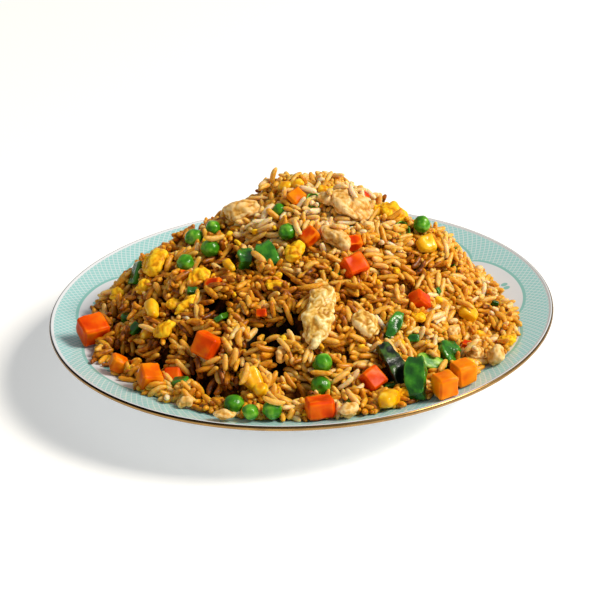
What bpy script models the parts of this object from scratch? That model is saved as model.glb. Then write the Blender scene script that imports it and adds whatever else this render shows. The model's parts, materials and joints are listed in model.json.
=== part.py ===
"""A round porcelain plate with a gilded edge, heaped with egg fried rice.

Metres, +Z up. The origin is the centre of the plate's foot, on the table. The front is
-Y. Every topping is a solid of its own, bedded in a pocket of the heap of rice.
"""

import math
from collections import namedtuple

import bmesh
import bpy
from mathutils import Euler, Matrix, Vector, noise

MM = 0.001
GAP = 0.3 * MM  # clearance between pieces that touch

# Plate
PLATE_RADIUS = 102.5 * MM
PLATE_HEIGHT = 26.0 * MM
WELL_RADIUS = 55.0 * MM  # flat floor of the plate
WELL_FLOOR = 5.8 * MM  # height of that floor above the table
SHOULDER_RADIUS = 81.0 * MM  # where the wall turns into the rim
WALL_RADII = [WELL_RADIUS + (SHOULDER_RADIUS - WELL_RADIUS) * i / 5 for i in range(6)]
RIM_SLOPE = math.tan(math.radians(15.0))
WALL = 4.1 * MM  # thickness, measured vertically
RIM_THICKNESS = 2.0 * MM  # at the edge, which is rounded
FOOT_OUTER = 56.0 * MM
FOOT_INNER = 51.0 * MM
FOOT_HEIGHT = 1.9 * MM
SEGMENTS = 48  # round the plate, and round the heap

# Heap of rice
HEAP_MIDDLE = Vector((-2.0, -4.0)) * MM
HEAP_RADIUS = 84.0 * MM
HEAP_RISE = 30.0 * MM  # of the broad dome, above the rim
HEAP_RINGS = 10
FOOT_SHARE = 0.99  # where the rice turns under, as a share of its reach
SEAT_RINGS = 5  # from there in to SEAT_RADIUS, along the plate's wall
SEAT_RADIUS = WALL_RADII[3]
POCKET_GAP = 2.6 * GAP  # both sides of a topping together, and a little for its corners
SEAT_GAP = 2 * GAP  # the faceted plate bulges a little between its segments
APRON = 2.6 * MM  # thickness of the loose rice round the foot of the dome
APRON_SPREAD = (  # direction, and how much further the rice spreads that way
    (math.radians(-78), 8.0 * MM),
    (math.radians(-20), 6.0 * MM),
)
LUMP_SIZE = 17.0 * MM
LUMP_HEIGHT = 2.2 * MM
EDGE_WAVER = 1.5 * MM  # how far the rice's edge wanders in and out

Mound = namedtuple("Mound", "x y height spread")
MOUNDS = (  # millimetres, added to the dome
    Mound(8, 10, 17, 22),
    Mound(-7, 18, 8, 7),
    Mound(13, 20, 9, 10),
    Mound(-27, 10, 6, 12),
    Mound(46, 6, 8, 12),
    Mound(58, 2, 9, 7),
    Mound(-64, 4, 7, 14),
)

# Shapes of the toppings
DICE_CHAMFER = 0.9 * MM
DICE_SKEW = 0.10
DICE_TAPER = 0.12
PEA_FLATNESS = 0.06
KERNEL_CHAMFER = 0.26  # of its thinnest side
KERNEL_TAPER = 0.36  # from tip to crown, across
KERNEL_THINNING = 0.24  # from tip to crown, through
DENTS = 0.34  # of a lump's radius
STRIP_TAPER = 0.35
STRIP_CURL = 0.10  # of its length

# Toppings: the place in plan, how far the middle lies above the rice, the size across,
# up the slope and out of it, all in millimetres, and the turns about those three axes in
# degrees.
Topping = namedtuple("Topping", "x y lift size turns")
CARROTS = (
    Topping(-83, -22, 0, (11, 10, 9), (20, -15, 30)),
    Topping(-71, -48, 0, (7, 6, 6), (10, 20, 15)),
    Topping(-58, -62, 0, (8, 9, 8), (25, 0, 20)),
    Topping(-49, -60, -2, (7, 7, 7), (15, 10, -10)),
    Topping(-36, -58, 2, (9, 9, 8), (15, -25, 40)),
    Topping(5, -93, 0, (10, 8, 7), (10, 0, 12)),
    Topping(25, -74, 2, (8, 8, 8), (10, 0, 45)),
    Topping(51, -84, 0, (8, 8, 8), (18, 0, 25)),
    Topping(59, -73, 0, (8, 8, 8), (18, 0, 25)),
    Topping(21, -30, 3, (9, 8, 8), (20, 0, 30)),
    Topping(46, -37, 1, (8, 6, 6), (0, 20, 10)),
    Topping(0, 5, 2, (7, 6, 6), (25, 0, 40)),
)
PEAS = (
    Topping(7, -72, 3, (8.0, 8.0, 7.6), (0, 0, 0)),
    Topping(6, -78, 2, (8.0, 7.9, 7.8), (0, 0, 0)),
    Topping(-12, -93, 0, (7.8, 7.8, 7.4), (0, 0, 0)),
    Topping(-26, -85, 0, (8.2, 8.0, 7.4), (0, 0, 0)),
    Topping(-20, -94, 0, (6.6, 6.6, 6.4), (0, 0, 0)),
    Topping(-42, 4, 2, (8.4, 7.4, 6.8), (0, 0, 0)),
    Topping(-35, -7, 2, (8.2, 8.0, 7.4), (0, 0, 0)),
    Topping(-45, -12, 2, (7.6, 7.8, 7.2), (0, 0, 0)),
    Topping(50, -1, 2, (7.6, 7.6, 7.4), (0, 0, 0)),
    Topping(-7, 2, 1, (5.2, 5.2, 5.0), (0, 0, 0)),
    Topping(-4, -11, 1, (7.4, 7.4, 7.0), (0, 0, 0)),
    Topping(-34, 5, 1, (6.6, 6.6, 6.2), (0, 0, 0)),
)
KERNELS = (
    Topping(-19, -75, 3, (9, 10, 7), (20, 10, 30)),
    Topping(30, -88, 0, (9, 10, 7), (0, 0, -20)),
    Topping(-58, -30, 2, (6, 10, 6), (0, 0, 5)),
    Topping(-27, -23, 2, (4, 8, 4), (0, 0, 25)),
    Topping(51, -8, 2, (9, 8, 6), (0, 0, -60)),
    Topping(66, -28, 2, (9, 8, 6), (0, 0, 70)),
)
EGG = (
    Topping(-58, -3, 2, (13, 13, 6), (0, 0, 0)),
    Topping(7, -55, 4, (12, 34, 7), (0, 0, -12)),
    Topping(-1, -22, 2, (9, 10, 6), (0, 0, 0)),
    Topping(39, 3, 2, (14, 9, 6), (0, 0, -10)),
    Topping(24, -56, 2, (13, 10, 5), (0, 0, -35)),
    Topping(-44, -37, 2, (13, 4, 4), (0, 0, 35)),
    Topping(-53, -43, 2, (11, 6, 5), (0, 0, 10)),
)
CHICKEN = (
    Topping(-22, 8, 2, (16, 10, 8), (0, 0, 0)),
    Topping(15, -16, 2, (18, 8, 7), (0, 0, -50)),
    Topping(22, 1, 2, (19, 15, 8), (0, 0, -20)),
    Topping(66, -52, 0, (7, 9, 7), (0, 0, 0)),
    Topping(73, -57, 0, (7, 8, 7), (0, 0, 0)),
    Topping(-44, -69, 0, (8, 6, 6), (0, 0, 0)),
    Topping(-29, -94, 0, (9, 5, 4), (0, 0, -5)),
    Topping(15, -95, 0, (8, 7, 6), (0, 0, 0)),
)
PEPPERS = (
    Topping(-21, -17, 1, (6, 9, 4), (0, 20, 0)),
    Topping(-12, -20, 2, (8, 12, 3), (25, 0, 12)),
    Topping(35, -53, 2, (5, 12, 3), (10, 0, -20)),
    Topping(34, -71, 1, (7, 22, 3), (0, 0, 30)),
    Topping(41, -79, 3, (8, 16, 5), (45, 0, -12)),
    Topping(48, -63, 4, (12, 6, 3), (0, 0, 0)),
    Topping(56, -52, 1, (9, 9, 3), (0, 0, 20)),
)


def linear(hex_colour):
    """A colour written as sRGB, such as "ff8800", in the linear values of a shader."""
    parts = [int(hex_colour[i : i + 2], 16) / 255 for i in (0, 2, 4)]
    return [c / 12.92 if c <= 0.04045 else ((c + 0.055) / 1.055) ** 2.4 for c in parts]


def material(name, hex_colour, roughness):
    made = bpy.data.materials.new(name)
    made.use_nodes = True
    made.diffuse_color = (*linear(hex_colour), 1)
    shader = made.node_tree.nodes["Principled BSDF"]
    shader.inputs["Base Color"].default_value = (*linear(hex_colour), 1)
    shader.inputs["Roughness"].default_value = roughness
    shader.inputs["Metallic"].default_value = 0.0
    return made


def finished(shape, name):
    mesh = bpy.data.meshes.new(name)
    shape.to_mesh(mesh)
    shape.free()
    return mesh


def new_object(name, mesh, finish):
    mesh.materials.append(finish)
    made = bpy.data.objects.new(name, mesh)
    bpy.context.scene.collection.objects.link(made)
    return made


# ---------------------------------------------------------------- plate


def eating_surface(radius):
    """Height of the plate's upper face at this distance from its axis."""
    shoulder_height = PLATE_HEIGHT - RIM_SLOPE * (PLATE_RADIUS - SHOULDER_RADIUS)
    if radius <= WELL_RADIUS:
        return WELL_FLOOR
    if radius >= SHOULDER_RADIUS:
        return shoulder_height + RIM_SLOPE * (radius - SHOULDER_RADIUS)
    width = SHOULDER_RADIUS - WELL_RADIUS
    u = (radius - WELL_RADIUS) / width
    rise = (shoulder_height - WELL_FLOOR) * u * u * (3 - 2 * u)
    ease = RIM_SLOPE * width * u * u * (u - 1)
    return WELL_FLOOR + rise + ease


def underside(radius):
    share = (radius - WELL_RADIUS) / (PLATE_RADIUS - WELL_RADIUS)
    return eating_surface(radius) - WALL + (WALL - RIM_THICKNESS) * share


def plate_profile():
    """Half section, from the axis over the upper face, round the edge and back below."""
    bead = RIM_THICKNESS / 2
    rim = PLATE_RADIUS - bead
    top = [(0, WELL_FLOOR)] + [(r, eating_surface(r)) for r in WALL_RADII]
    edge = []
    for step in range(5):
        turn = math.radians(90 - 45 * step)
        height = PLATE_HEIGHT - bead + bead * math.sin(turn)
        edge.append((rim + bead * math.cos(turn), height))
    bottom = [(r, underside(r)) for r in (SHOULDER_RADIUS, WALL_RADII[3], WALL_RADII[2])]
    foot = [
        (FOOT_OUTER, FOOT_HEIGHT / 2),
        (FOOT_OUTER - 0.6 * MM, 0),
        (FOOT_INNER, 0),
        (FOOT_INNER - 0.6 * MM, FOOT_HEIGHT),
        (0, FOOT_HEIGHT),
    ]
    return top + edge + bottom + foot


def make_plate():
    profile = plate_profile()
    mesh = bpy.data.meshes.new("plate")
    edges = [(i, i + 1) for i in range(len(profile) - 1)]
    mesh.from_pydata([(r, 0, z) for r, z in profile], edges, [])
    plate = new_object("plate", mesh, material("glazed porcelain", "e3e6e4", 0.12))
    turned = plate.modifiers.new("turned", "SCREW")
    turned.steps = turned.render_steps = SEGMENTS
    turned.use_merge_vertices = True
    turned.merge_threshold = 0.00001
    turned.use_smooth_shade = True
    return plate


# ---------------------------------------------------------------- heap of rice


def heap_reach(angle):
    """How far from its middle the rice spreads, in this direction."""
    around = Vector((math.cos(angle), math.sin(angle), 0)) * 2.5
    reach = HEAP_RADIUS + EDGE_WAVER * noise.noise(around)
    for direction, spread in APRON_SPREAD:
        reach += spread * max(0, math.cos(angle - direction)) ** 4
    return reach


def heap_place(angle, share):
    """The place in plan, this share of the way from the middle to the edge."""
    away = share * heap_reach(angle)
    return HEAP_MIDDLE + Vector((math.cos(angle), math.sin(angle))) * away


def heap_top(x, y):
    """Height of the surface of the rice, at a place in plan."""
    place = Vector((x, y))
    share = min((place - HEAP_MIDDLE).length / HEAP_RADIUS, 1.0)
    height = eating_surface(HEAP_RADIUS) + HEAP_RISE * (1 - share**4) ** 1.7
    for mound in MOUNDS:
        away = (place - Vector((mound.x, mound.y)) * MM).length / (mound.spread * MM)
        height += mound.height * MM * math.exp(-away * away / 2)
    lumps = noise.noise(Vector((x, y, 0.03)) / LUMP_SIZE)
    height += LUMP_HEIGHT * lumps * min(1, 4 * (1 - share))
    return max(height, eating_surface(place.length) + GAP + APRON)


def heap_normal(x, y):
    step = 3 * MM
    slope_x = (heap_top(x + step, y) - heap_top(x - step, y)) / (2 * step)
    slope_y = (heap_top(x, y + step) - heap_top(x, y - step)) / (2 * step)
    return Vector((-slope_x, -slope_y, 1)).normalized()


def heap_mesh():
    """A closed skin: rings over the top, out to the edge, and rings along the plate."""
    shape = bmesh.new()
    turns = [2 * math.pi * i / SEGMENTS for i in range(SEGMENTS)]
    foot = [heap_place(turn, FOOT_SHARE) for turn in turns]

    def top_ring(share):
        places = [heap_place(turn, share) for turn in turns]
        return [shape.verts.new((x, y, heap_top(x, y))) for x, y in places]

    def plate_ring(places):
        heights = [eating_surface(place.length) + SEAT_GAP for place in places]
        return [shape.verts.new((*place, z)) for place, z in zip(places, heights)]

    def circle(radius):
        return [Vector((math.cos(turn), math.sin(turn))) * radius for turn in turns]

    rings = [top_ring(i / HEAP_RINGS) for i in range(1, HEAP_RINGS + 1)]
    for step in range(SEAT_RINGS):
        share = step / (SEAT_RINGS - 1)
        seat = [a.lerp(b, share) for a, b in zip(foot, circle(SEAT_RADIUS))]
        rings.append(plate_ring(seat))
    rings += [plate_ring(circle(radius)) for radius in (WALL_RADII[2], WALL_RADII[1])]
    for inner, outer in zip(rings, rings[1:]):
        for i in range(SEGMENTS):
            j = (i + 1) % SEGMENTS
            shape.faces.new((inner[i], outer[i], outer[j], inner[j]))
    peak = shape.verts.new((*HEAP_MIDDLE, heap_top(*HEAP_MIDDLE)))
    for i in range(SEGMENTS):
        shape.faces.new((peak, rings[0][i], rings[0][(i + 1) % SEGMENTS]))
    shape.faces.new(reversed(rings[-1]))
    bmesh.ops.triangulate(shape, faces=shape.faces)
    return finished(shape, "rice_heap")


# ---------------------------------------------------------------- toppings


def block(size, chamfer):
    shape = bmesh.new()
    bmesh.ops.create_cube(shape, size=1.0)
    bmesh.ops.scale(shape, vec=size, verts=shape.verts)
    bmesh.ops.bevel(shape, geom=shape.edges, offset=chamfer, segments=1, affect="EDGES")
    return shape


def ball():
    shape = bmesh.new()
    bmesh.ops.create_icosphere(shape, subdivisions=2, radius=0.5)
    return shape


def chance(seed):
    """A number from -1 to 1 that differs from one piece to the next."""
    return noise.noise(Vector((seed * 3.7, 0.5, 0.5)))


def dice(size, seed):
    """A hand-cut cube of carrot, a little out of square."""
    shape = block(size, DICE_CHAMFER)
    skew = DICE_SKEW * chance(seed)
    for vert in shape.verts:
        vert.co.x += skew * vert.co.z
        vert.co.y *= 1 + DICE_TAPER * vert.co.x / size[0]
    return shape


def pea(size, seed):
    """Round, and a little flatter on one side."""
    shape = ball()
    flatness = PEA_FLATNESS * chance(seed)
    for vert in shape.verts:
        vert.co.z *= 1 + flatness * vert.co.x
    bmesh.ops.scale(shape, vec=size, verts=shape.verts)
    return shape


def kernel(size, seed):
    """A grain of sweetcorn: broad at the crown, narrow at the tip."""
    shape = block(size, KERNEL_CHAMFER * min(size))
    taper = KERNEL_TAPER * (1 + 0.2 * chance(seed))
    for vert in shape.verts:
        short_of_crown = 0.5 - vert.co.y / size[1]
        vert.co.x *= 1 - taper * short_of_crown
        vert.co.z *= 1 - KERNEL_THINNING * short_of_crown
    return shape


def lump(size, seed):
    """A torn or shredded piece, rounded and dented."""
    shape = ball()
    for vert in shape.verts:
        dent = noise.noise(vert.co * 3.1 + Vector((seed * 5.3, seed * 1.9, 0.7)))
        vert.co *= 1 + DENTS * dent
    bmesh.ops.scale(shape, vec=size, verts=shape.verts)
    return shape


def strip(size, seed):
    """A curved strip of pepper, cut from the wall of the fruit."""
    shape = bmesh.new()
    bmesh.ops.create_cube(shape, size=1.0)
    long_edges = [e for e in shape.edges if abs(e.verts[0].co.y - e.verts[1].co.y) > 0.5]
    bmesh.ops.subdivide_edges(shape, edges=long_edges, cuts=3, use_grid_fill=True)
    bmesh.ops.scale(shape, vec=size, verts=shape.verts)
    curl = STRIP_CURL * size[1] * (1 + 0.2 * chance(seed))
    for vert in shape.verts:
        along = 2 * vert.co.y / size[1]
        vert.co.x *= 1 - STRIP_TAPER * along * along
        vert.co.z -= curl * (along * along - 0.4)
    return shape


def pose_of(topping, shape):
    """Where the piece lies: turned to the slope of the rice, and clear of the plate."""
    turns = Euler([math.radians(turn) for turn in topping.turns]).to_matrix()
    x, y = topping.x * MM, topping.y * MM
    lie = Vector((0, 0, 1)).rotation_difference(heap_normal(x, y)).to_matrix()
    pose = (lie @ turns).to_4x4()
    pose.translation = (x, y, heap_top(x, y) + topping.lift * MM)
    corners = [pose @ vert.co for vert in shape.verts]
    sunk = max(eating_surface(p.xy.length) + 2 * GAP - p.z for p in corners)
    pose.translation.z += max(0, sunk)
    return pose


def add_topping(name, topping, shaper, finish, pockets):
    """Lays the piece on the rice, and adds the cutter of its pocket."""
    size = Vector(topping.size) * MM
    shape = shaper(size, len(pockets.objects) + 1)
    pose = pose_of(topping, shape)
    made = new_object(name, finished(shape, name), finish)
    made.matrix_world = pose

    growth = [1 + POCKET_GAP / side for side in size]
    cutter = bpy.data.objects.new(f"pocket_{name}", made.data)
    cutter.matrix_world = pose @ Matrix.Diagonal((*growth, 1))
    cutter.hide_render = True
    cutter.display_type = "WIRE"
    pockets.objects.link(cutter)


def add_toppings(pockets):
    kinds = (
        ("carrot", CARROTS, dice, material("boiled carrot", "e8701c", 0.35)),
        ("pea", PEAS, pea, material("green pea", "4e8f2a", 0.25)),
        ("corn", KERNELS, kernel, material("sweetcorn", "efbc22", 0.3)),
        ("egg", EGG, lump, material("scrambled egg", "eec565", 0.5)),
        ("chicken", CHICKEN, lump, material("chicken", "dcae6c", 0.5)),
        ("pepper", PEPPERS, strip, material("green pepper", "2f6420", 0.2)),
    )
    for kind, toppings, shaper, finish in kinds:
        for number, topping in enumerate(toppings, start=1):
            add_topping(f"{kind}_{number:02d}", topping, shaper, finish, pockets)


def main():
    for existing in list(bpy.data.objects):
        bpy.data.objects.remove(existing)
    pockets = bpy.data.collections.new("pockets")
    bpy.context.scene.collection.children.link(pockets)
    make_plate()
    add_toppings(pockets)
    heap = new_object("rice_heap", heap_mesh(), material("fried rice", "d39a48", 0.45))
    cut = heap.modifiers.new("pockets", "BOOLEAN")
    cut.operation = "DIFFERENCE"
    cut.operand_type = "COLLECTION"
    cut.collection = pockets
    cut.solver = "EXACT"


main()
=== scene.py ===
"""Egg fried rice on a round porcelain plate with a gilded edge: the looks.

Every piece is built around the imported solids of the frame, in metres, +Z up, with the front
at -Y. The plate is turned again as a fine lathe form. The heap becomes loose grains, a few
deep, over a smaller core. Each topping starts from its own solid and gets its real skin.
"""

import functools
import json
import math
import random

import bmesh
import bpy
import numpy as np
from bpy.props import FloatProperty, FloatVectorProperty, IntProperty, PointerProperty
from mathutils import Matrix, Vector, noise
from mathutils.bvhtree import BVHTree

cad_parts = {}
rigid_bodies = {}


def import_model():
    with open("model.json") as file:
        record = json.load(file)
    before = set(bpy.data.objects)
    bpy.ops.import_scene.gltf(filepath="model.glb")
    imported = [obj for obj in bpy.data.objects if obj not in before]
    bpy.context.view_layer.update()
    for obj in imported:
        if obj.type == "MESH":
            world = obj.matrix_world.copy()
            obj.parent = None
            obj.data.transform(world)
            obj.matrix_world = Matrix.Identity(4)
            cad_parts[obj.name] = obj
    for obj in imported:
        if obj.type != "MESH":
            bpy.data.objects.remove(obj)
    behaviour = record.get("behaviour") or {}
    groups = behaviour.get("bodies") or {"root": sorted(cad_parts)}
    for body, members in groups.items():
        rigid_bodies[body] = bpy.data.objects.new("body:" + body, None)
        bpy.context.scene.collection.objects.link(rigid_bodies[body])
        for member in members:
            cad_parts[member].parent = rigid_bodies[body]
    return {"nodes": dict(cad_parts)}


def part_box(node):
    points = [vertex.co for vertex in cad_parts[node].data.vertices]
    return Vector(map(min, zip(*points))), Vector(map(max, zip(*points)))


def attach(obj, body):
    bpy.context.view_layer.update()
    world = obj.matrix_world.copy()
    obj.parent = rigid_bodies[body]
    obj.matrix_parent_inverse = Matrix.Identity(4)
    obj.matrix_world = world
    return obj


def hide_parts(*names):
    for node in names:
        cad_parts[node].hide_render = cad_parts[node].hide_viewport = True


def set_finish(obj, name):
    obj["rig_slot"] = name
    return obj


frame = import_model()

bl_info = {
    "name": "Egg fried rice on a plate",
    "version": (1, 0, 0),
    "blender": (4, 5, 0),
    "location": "3D View > Sidebar > Fried rice",
    "description": "A gilded porcelain plate heaped with egg fried rice",
    "category": "Object",
}

MM = 0.001

noise.seed_set(2)  # unseeded, the folds of egg and meat would differ from run to run

# The plate's section, as its solid has it
PLATE_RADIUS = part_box("plate")[1].x
PLATE_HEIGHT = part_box("plate")[1].z
WELL_RADIUS = 55.0 * MM
WELL_FLOOR = 5.8 * MM
SHOULDER_RADIUS = 81.0 * MM
RIM_SLOPE = math.tan(math.radians(15.0))
WALL = 4.1 * MM
BEAD = 1.0 * MM  # radius of the rounded edge
FOOT_OUTER = 56.0 * MM
FOOT_INNER = 51.0 * MM
FOOT_HEIGHT = 1.9 * MM

LOBES = 9  # of the scalloped line on the rim
BARE_EDGE = 1.7 * MM  # white glaze left between the print and the gold
LOBE_TURN = math.radians(10.0)  # direction of the first lobe
LOBE_FULLNESS = 0.55  # power of its arch: 1 is a parabola, less is fuller
FADE = 0.25 * MM  # how far the edge of a printed line fades
OPEN_LINE = (7.0, -2.6)  # steepness and threshold of the lattice's open lines
# Values of the print that are held between 0 and 1
PRINTED = ("border", "band_in", "band_out", "rise_line", "dip_line", "blossom", "face")


# ---------------------------------------------------------------- colours and nodes


def linear(hex_colour):
    """A colour written as sRGB hex, in the linear values of a shader."""
    parts = [int(hex_colour[i : i + 2], 16) / 255 for i in (0, 2, 4)]
    return [c / 12.92 if c <= 0.04045 else ((c + 0.055) / 1.055) ** 2.4 for c in parts]


def add_node(tree, kind, inputs=None, stops=None, **settings):
    """Adds a node with its settings, the values and links of its inputs, and a ramp's stops.

    An input that is a node is linked from that node's first output in use.
    """
    node = tree.nodes.new(kind)
    for name, value in settings.items():
        setattr(node, name, value)
    for socket, value in (inputs or {}).items():
        if isinstance(socket, str):
            socket = next(i for i, s in enumerate(node.inputs) if s.enabled and s.name == socket)
        if isinstance(value, bpy.types.Node):
            value = next(s for s in value.outputs if s.enabled)
        if isinstance(value, bpy.types.NodeSocket):
            tree.links.new(value, node.inputs[socket])
        else:
            node.inputs[socket].default_value = value
    if stops:
        elements = node.color_ramp.elements
        while len(elements) < len(stops):
            elements.new(0.5)
        for element, (place, colour) in zip(elements, stops):
            element.position = place
            element.color = (*linear(colour), 1)
    return node


def surface(name, **constants):
    """A material with a Principled shader, whose constants sit on the shader's own sockets."""
    made = bpy.data.materials.new(name)
    made.use_nodes = True
    shader = made.node_tree.nodes["Principled BSDF"]
    for socket, value in constants.items():
        shader.inputs[socket.replace("_", " ")].default_value = value
    return made, shader, functools.partial(add_node, made.node_tree)


def feed_shader(made, shader, **sources):
    """Links the shader's inputs. A mixed colour leaves its node by the output in use."""
    for socket, source in sources.items():
        output = next(s for s in source.outputs if s.enabled)
        made.node_tree.links.new(output, shader.inputs[socket.replace("_", " ")])
    return made


def rgba(colour):
    return (*colour, 1)


# ---------------------------------------------------------------- materials


def glazed_porcelain(look):
    """Hard-paste porcelain, jiggered and glazed: cool white, with glassy reflections.

    Printed under the glaze are scallops round the rim, a lattice outside them and a small
    blossom in each.
    """
    made, shader, add = surface("glazed porcelain", Roughness=0.13, IOR=1.52)
    place = add("ShaderNodeTexCoord").outputs["Object"]
    flat = add("ShaderNodeVectorMath", {0: place, 1: (1, 1, 0)}, operation="MULTIPLY")
    point = add("ShaderNodeSeparateXYZ", {0: place})
    facing = add("ShaderNodeNewGeometry").outputs["Normal"]
    slants = round(2 * math.pi * look.scallop_reach / (look.lattice_pitch * math.sqrt(2)))
    petal_ring, petal_radius = 0.34 * look.blossom_size, 0.16 * look.blossom_size
    values = {
        "x": point.outputs["X"],
        "y": point.outputs["Y"],
        "radius": add("ShaderNodeVectorMath", {0: flat}, operation="LENGTH"),
        "up": add("ShaderNodeSeparateXYZ", {0: facing}).outputs["Z"],
    }
    formulas = (
        ("angle", "ARCTAN2", "y", "x"),
        # across one lobe, from -0.5 to 0.5, and the scalloped line's radius there
        ("turn", "SUBTRACT", "angle", LOBE_TURN),
        ("lobes", "MULTIPLY", "turn", LOBES / (2 * math.pi)),
        ("lobe", "WRAP", "lobes", 0.5, -0.5),
        ("square", "MULTIPLY", "lobe", "lobe"),
        ("fall", "MULTIPLY_ADD", "square", -4.0, 1.0),
        ("arch", "POWER", "fall", LOBE_FULLNESS),
        ("line", "MULTIPLY_ADD", "arch", look.scallop_reach - look.scallop_cusp, look.scallop_cusp),
        ("outside", "SUBTRACT", "radius", "line"),
        ("off_line", "ABSOLUTE", "outside"),
        ("border", "MULTIPLY_ADD", "off_line", -1 / FADE, look.border_width / 2 / FADE),
        ("band_in", "MULTIPLY", "outside", 1 / FADE),
        ("band_out", "MULTIPLY_ADD", "radius", -1 / FADE, (PLATE_RADIUS - BARE_EDGE) / FADE),
        ("band", "MULTIPLY", "band_in", "band_out"),
        # two families of slanting lines, left open in the teal of the lattice
        ("inwards", "DIVIDE", "radius", look.lattice_pitch * math.sqrt(2)),
        ("around", "MULTIPLY", "angle", slants / (2 * math.pi)),
        ("rise", "ADD", "around", "inwards"),
        ("rise_wave", "PINGPONG", "rise", 0.5),
        ("rise_line", "MULTIPLY_ADD", "rise_wave", *OPEN_LINE),
        ("dip", "SUBTRACT", "around", "inwards"),
        ("dip_wave", "PINGPONG", "dip", 0.5),
        ("dip_line", "MULTIPLY_ADD", "dip_wave", *OPEN_LINE),
        ("lattice", "MAXIMUM", "rise_line", "dip_line"),
        # the blossom in the middle of a lobe: round petals in a ring about its heart
        ("sideways", "MULTIPLY", "lobe", 2 * math.pi / LOBES),
        ("across", "MULTIPLY", "sideways", "radius"),
        ("along", "SUBTRACT", "radius", look.blossom_radius),
        ("way", "ARCTAN2", "along", "across"),
        ("aside", "WRAP", "way", math.pi / look.petals, -math.pi / look.petals),
        ("straightness", "COSINE", "aside"),
        ("across_square", "MULTIPLY", "across", "across"),
        ("square_sum", "MULTIPLY_ADD", "along", "along", "across_square"),
        ("from_heart", "SQRT", "square_sum"),
        ("outwards", "MULTIPLY", "from_heart", "straightness"),
        ("petal_term", "MULTIPLY_ADD", "outwards", -2 * petal_ring, petal_ring * petal_ring),
        ("petal_square", "ADD", "square_sum", "petal_term"),
        ("off_petal", "SQRT", "petal_square"),
        ("blossom", "MULTIPLY_ADD", "off_petal", -1 / FADE, petal_radius / FADE),
        # the print is on the upper face only
        ("face", "MULTIPLY", "up", 10.0),
    )
    for name, operation, *operands in formulas:
        inputs = {i: values.get(operand, operand) for i, operand in enumerate(operands)}
        held = name in PRINTED
        values[name] = add("ShaderNodeMath", inputs, operation=operation, use_clamp=held)

    mottle = add("ShaderNodeTexNoise", {"Vector": place, "Scale": 90.0, "Detail": 3.0})
    glaze, shade = rgba(look.glaze_colour), rgba(look.glaze_shade)
    teal, dark_teal = rgba(look.pattern_colour), rgba(look.border_colour)
    bare = add("ShaderNodeMix", {"Factor": mottle, "A": glaze, "B": shade}, data_type="RGBA")
    inputs = {"Factor": values["lattice"], "A": teal, "B": glaze}
    band = add("ShaderNodeMix", inputs, data_type="RGBA")
    colour = bare
    for mask, paint in (("band", band), ("blossom", dark_teal), ("border", dark_teal)):
        inputs = {"Factor": values[mask], "A": colour, "B": paint}
        colour = add("ShaderNodeMix", inputs, data_type="RGBA")
    inputs = {"Factor": values["face"], "A": bare, "B": colour}
    colour = add("ShaderNodeMix", inputs, data_type="RGBA")
    return feed_shader(made, shader, Base_Color=colour)


def burnished_gilding(look):
    """Bright gold fired on the edge and worn by use: a warm metal, brown where it is thin.

    The upper side of the edge is painted dark brown, most towards the left, as a painted reflection
    of dark surroundings in the gold.
    """
    made, shader, add = surface("burnished gilding", Metallic=1.0)
    place = add("ShaderNodeTexCoord").outputs["Object"]
    wear = add("ShaderNodeTexNoise", {"Vector": place, "Scale": 160.0, "Detail": 4.0})
    facing = add("ShaderNodeNewGeometry").outputs["Normal"]
    up = add("ShaderNodeSeparateXYZ", {0: facing}).outputs["Z"]
    leftness = add("ShaderNodeSeparateXYZ", {0: place}).outputs["X"]
    # painted reflection: darker towards the left, on the upper side of the edge
    inputs = {"Value": leftness, "From Min": 20 * MM, "From Max": -50 * MM, "To Min": 0.25}
    dark_reflection_side = add("ShaderNodeMapRange", inputs)
    upper = add("ShaderNodeMapRange", {"Value": up, "From Min": 0.25, "From Max": 0.5})
    painted_dark_reflection = add("ShaderNodeMath", {0: dark_reflection_side, 1: upper}, operation="MULTIPLY")
    # the dark brown is a painted reflection, laid on the upper side of the edge towards the left
    gold, thin, size = rgba(look.gilding_colour), rgba(look.gilding_shade), rgba(linear("2a1a0c"))
    colour = add("ShaderNodeMix", {"Factor": wear, "A": gold, "B": thin}, data_type="RGBA")
    colour = add("ShaderNodeMix", {"Factor": painted_dark_reflection, "A": colour, "B": size}, data_type="RGBA")
    rough = add("ShaderNodeMapRange", {"Value": wear, "To Min": 0.16, "To Max": 0.38})
    return feed_shader(made, shader, Base_Color=colour, Roughness=rough)


def edible(name, rough, ior, specular, through, oil):
    """A food's material: its gloss, the light it lets through and its coat of oil."""
    share, depths, scale = through
    gloss = {"Roughness": rough, "IOR": ior, "Specular_IOR_Level": specular}
    clear = {"Subsurface_Weight": share, "Subsurface_Radius": depths}
    coat = {"Coat_Weight": oil[0], "Coat_Roughness": oil[1]}
    return surface(name, Subsurface_Scale=scale * MM, **gloss, **clear, **coat)


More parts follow.
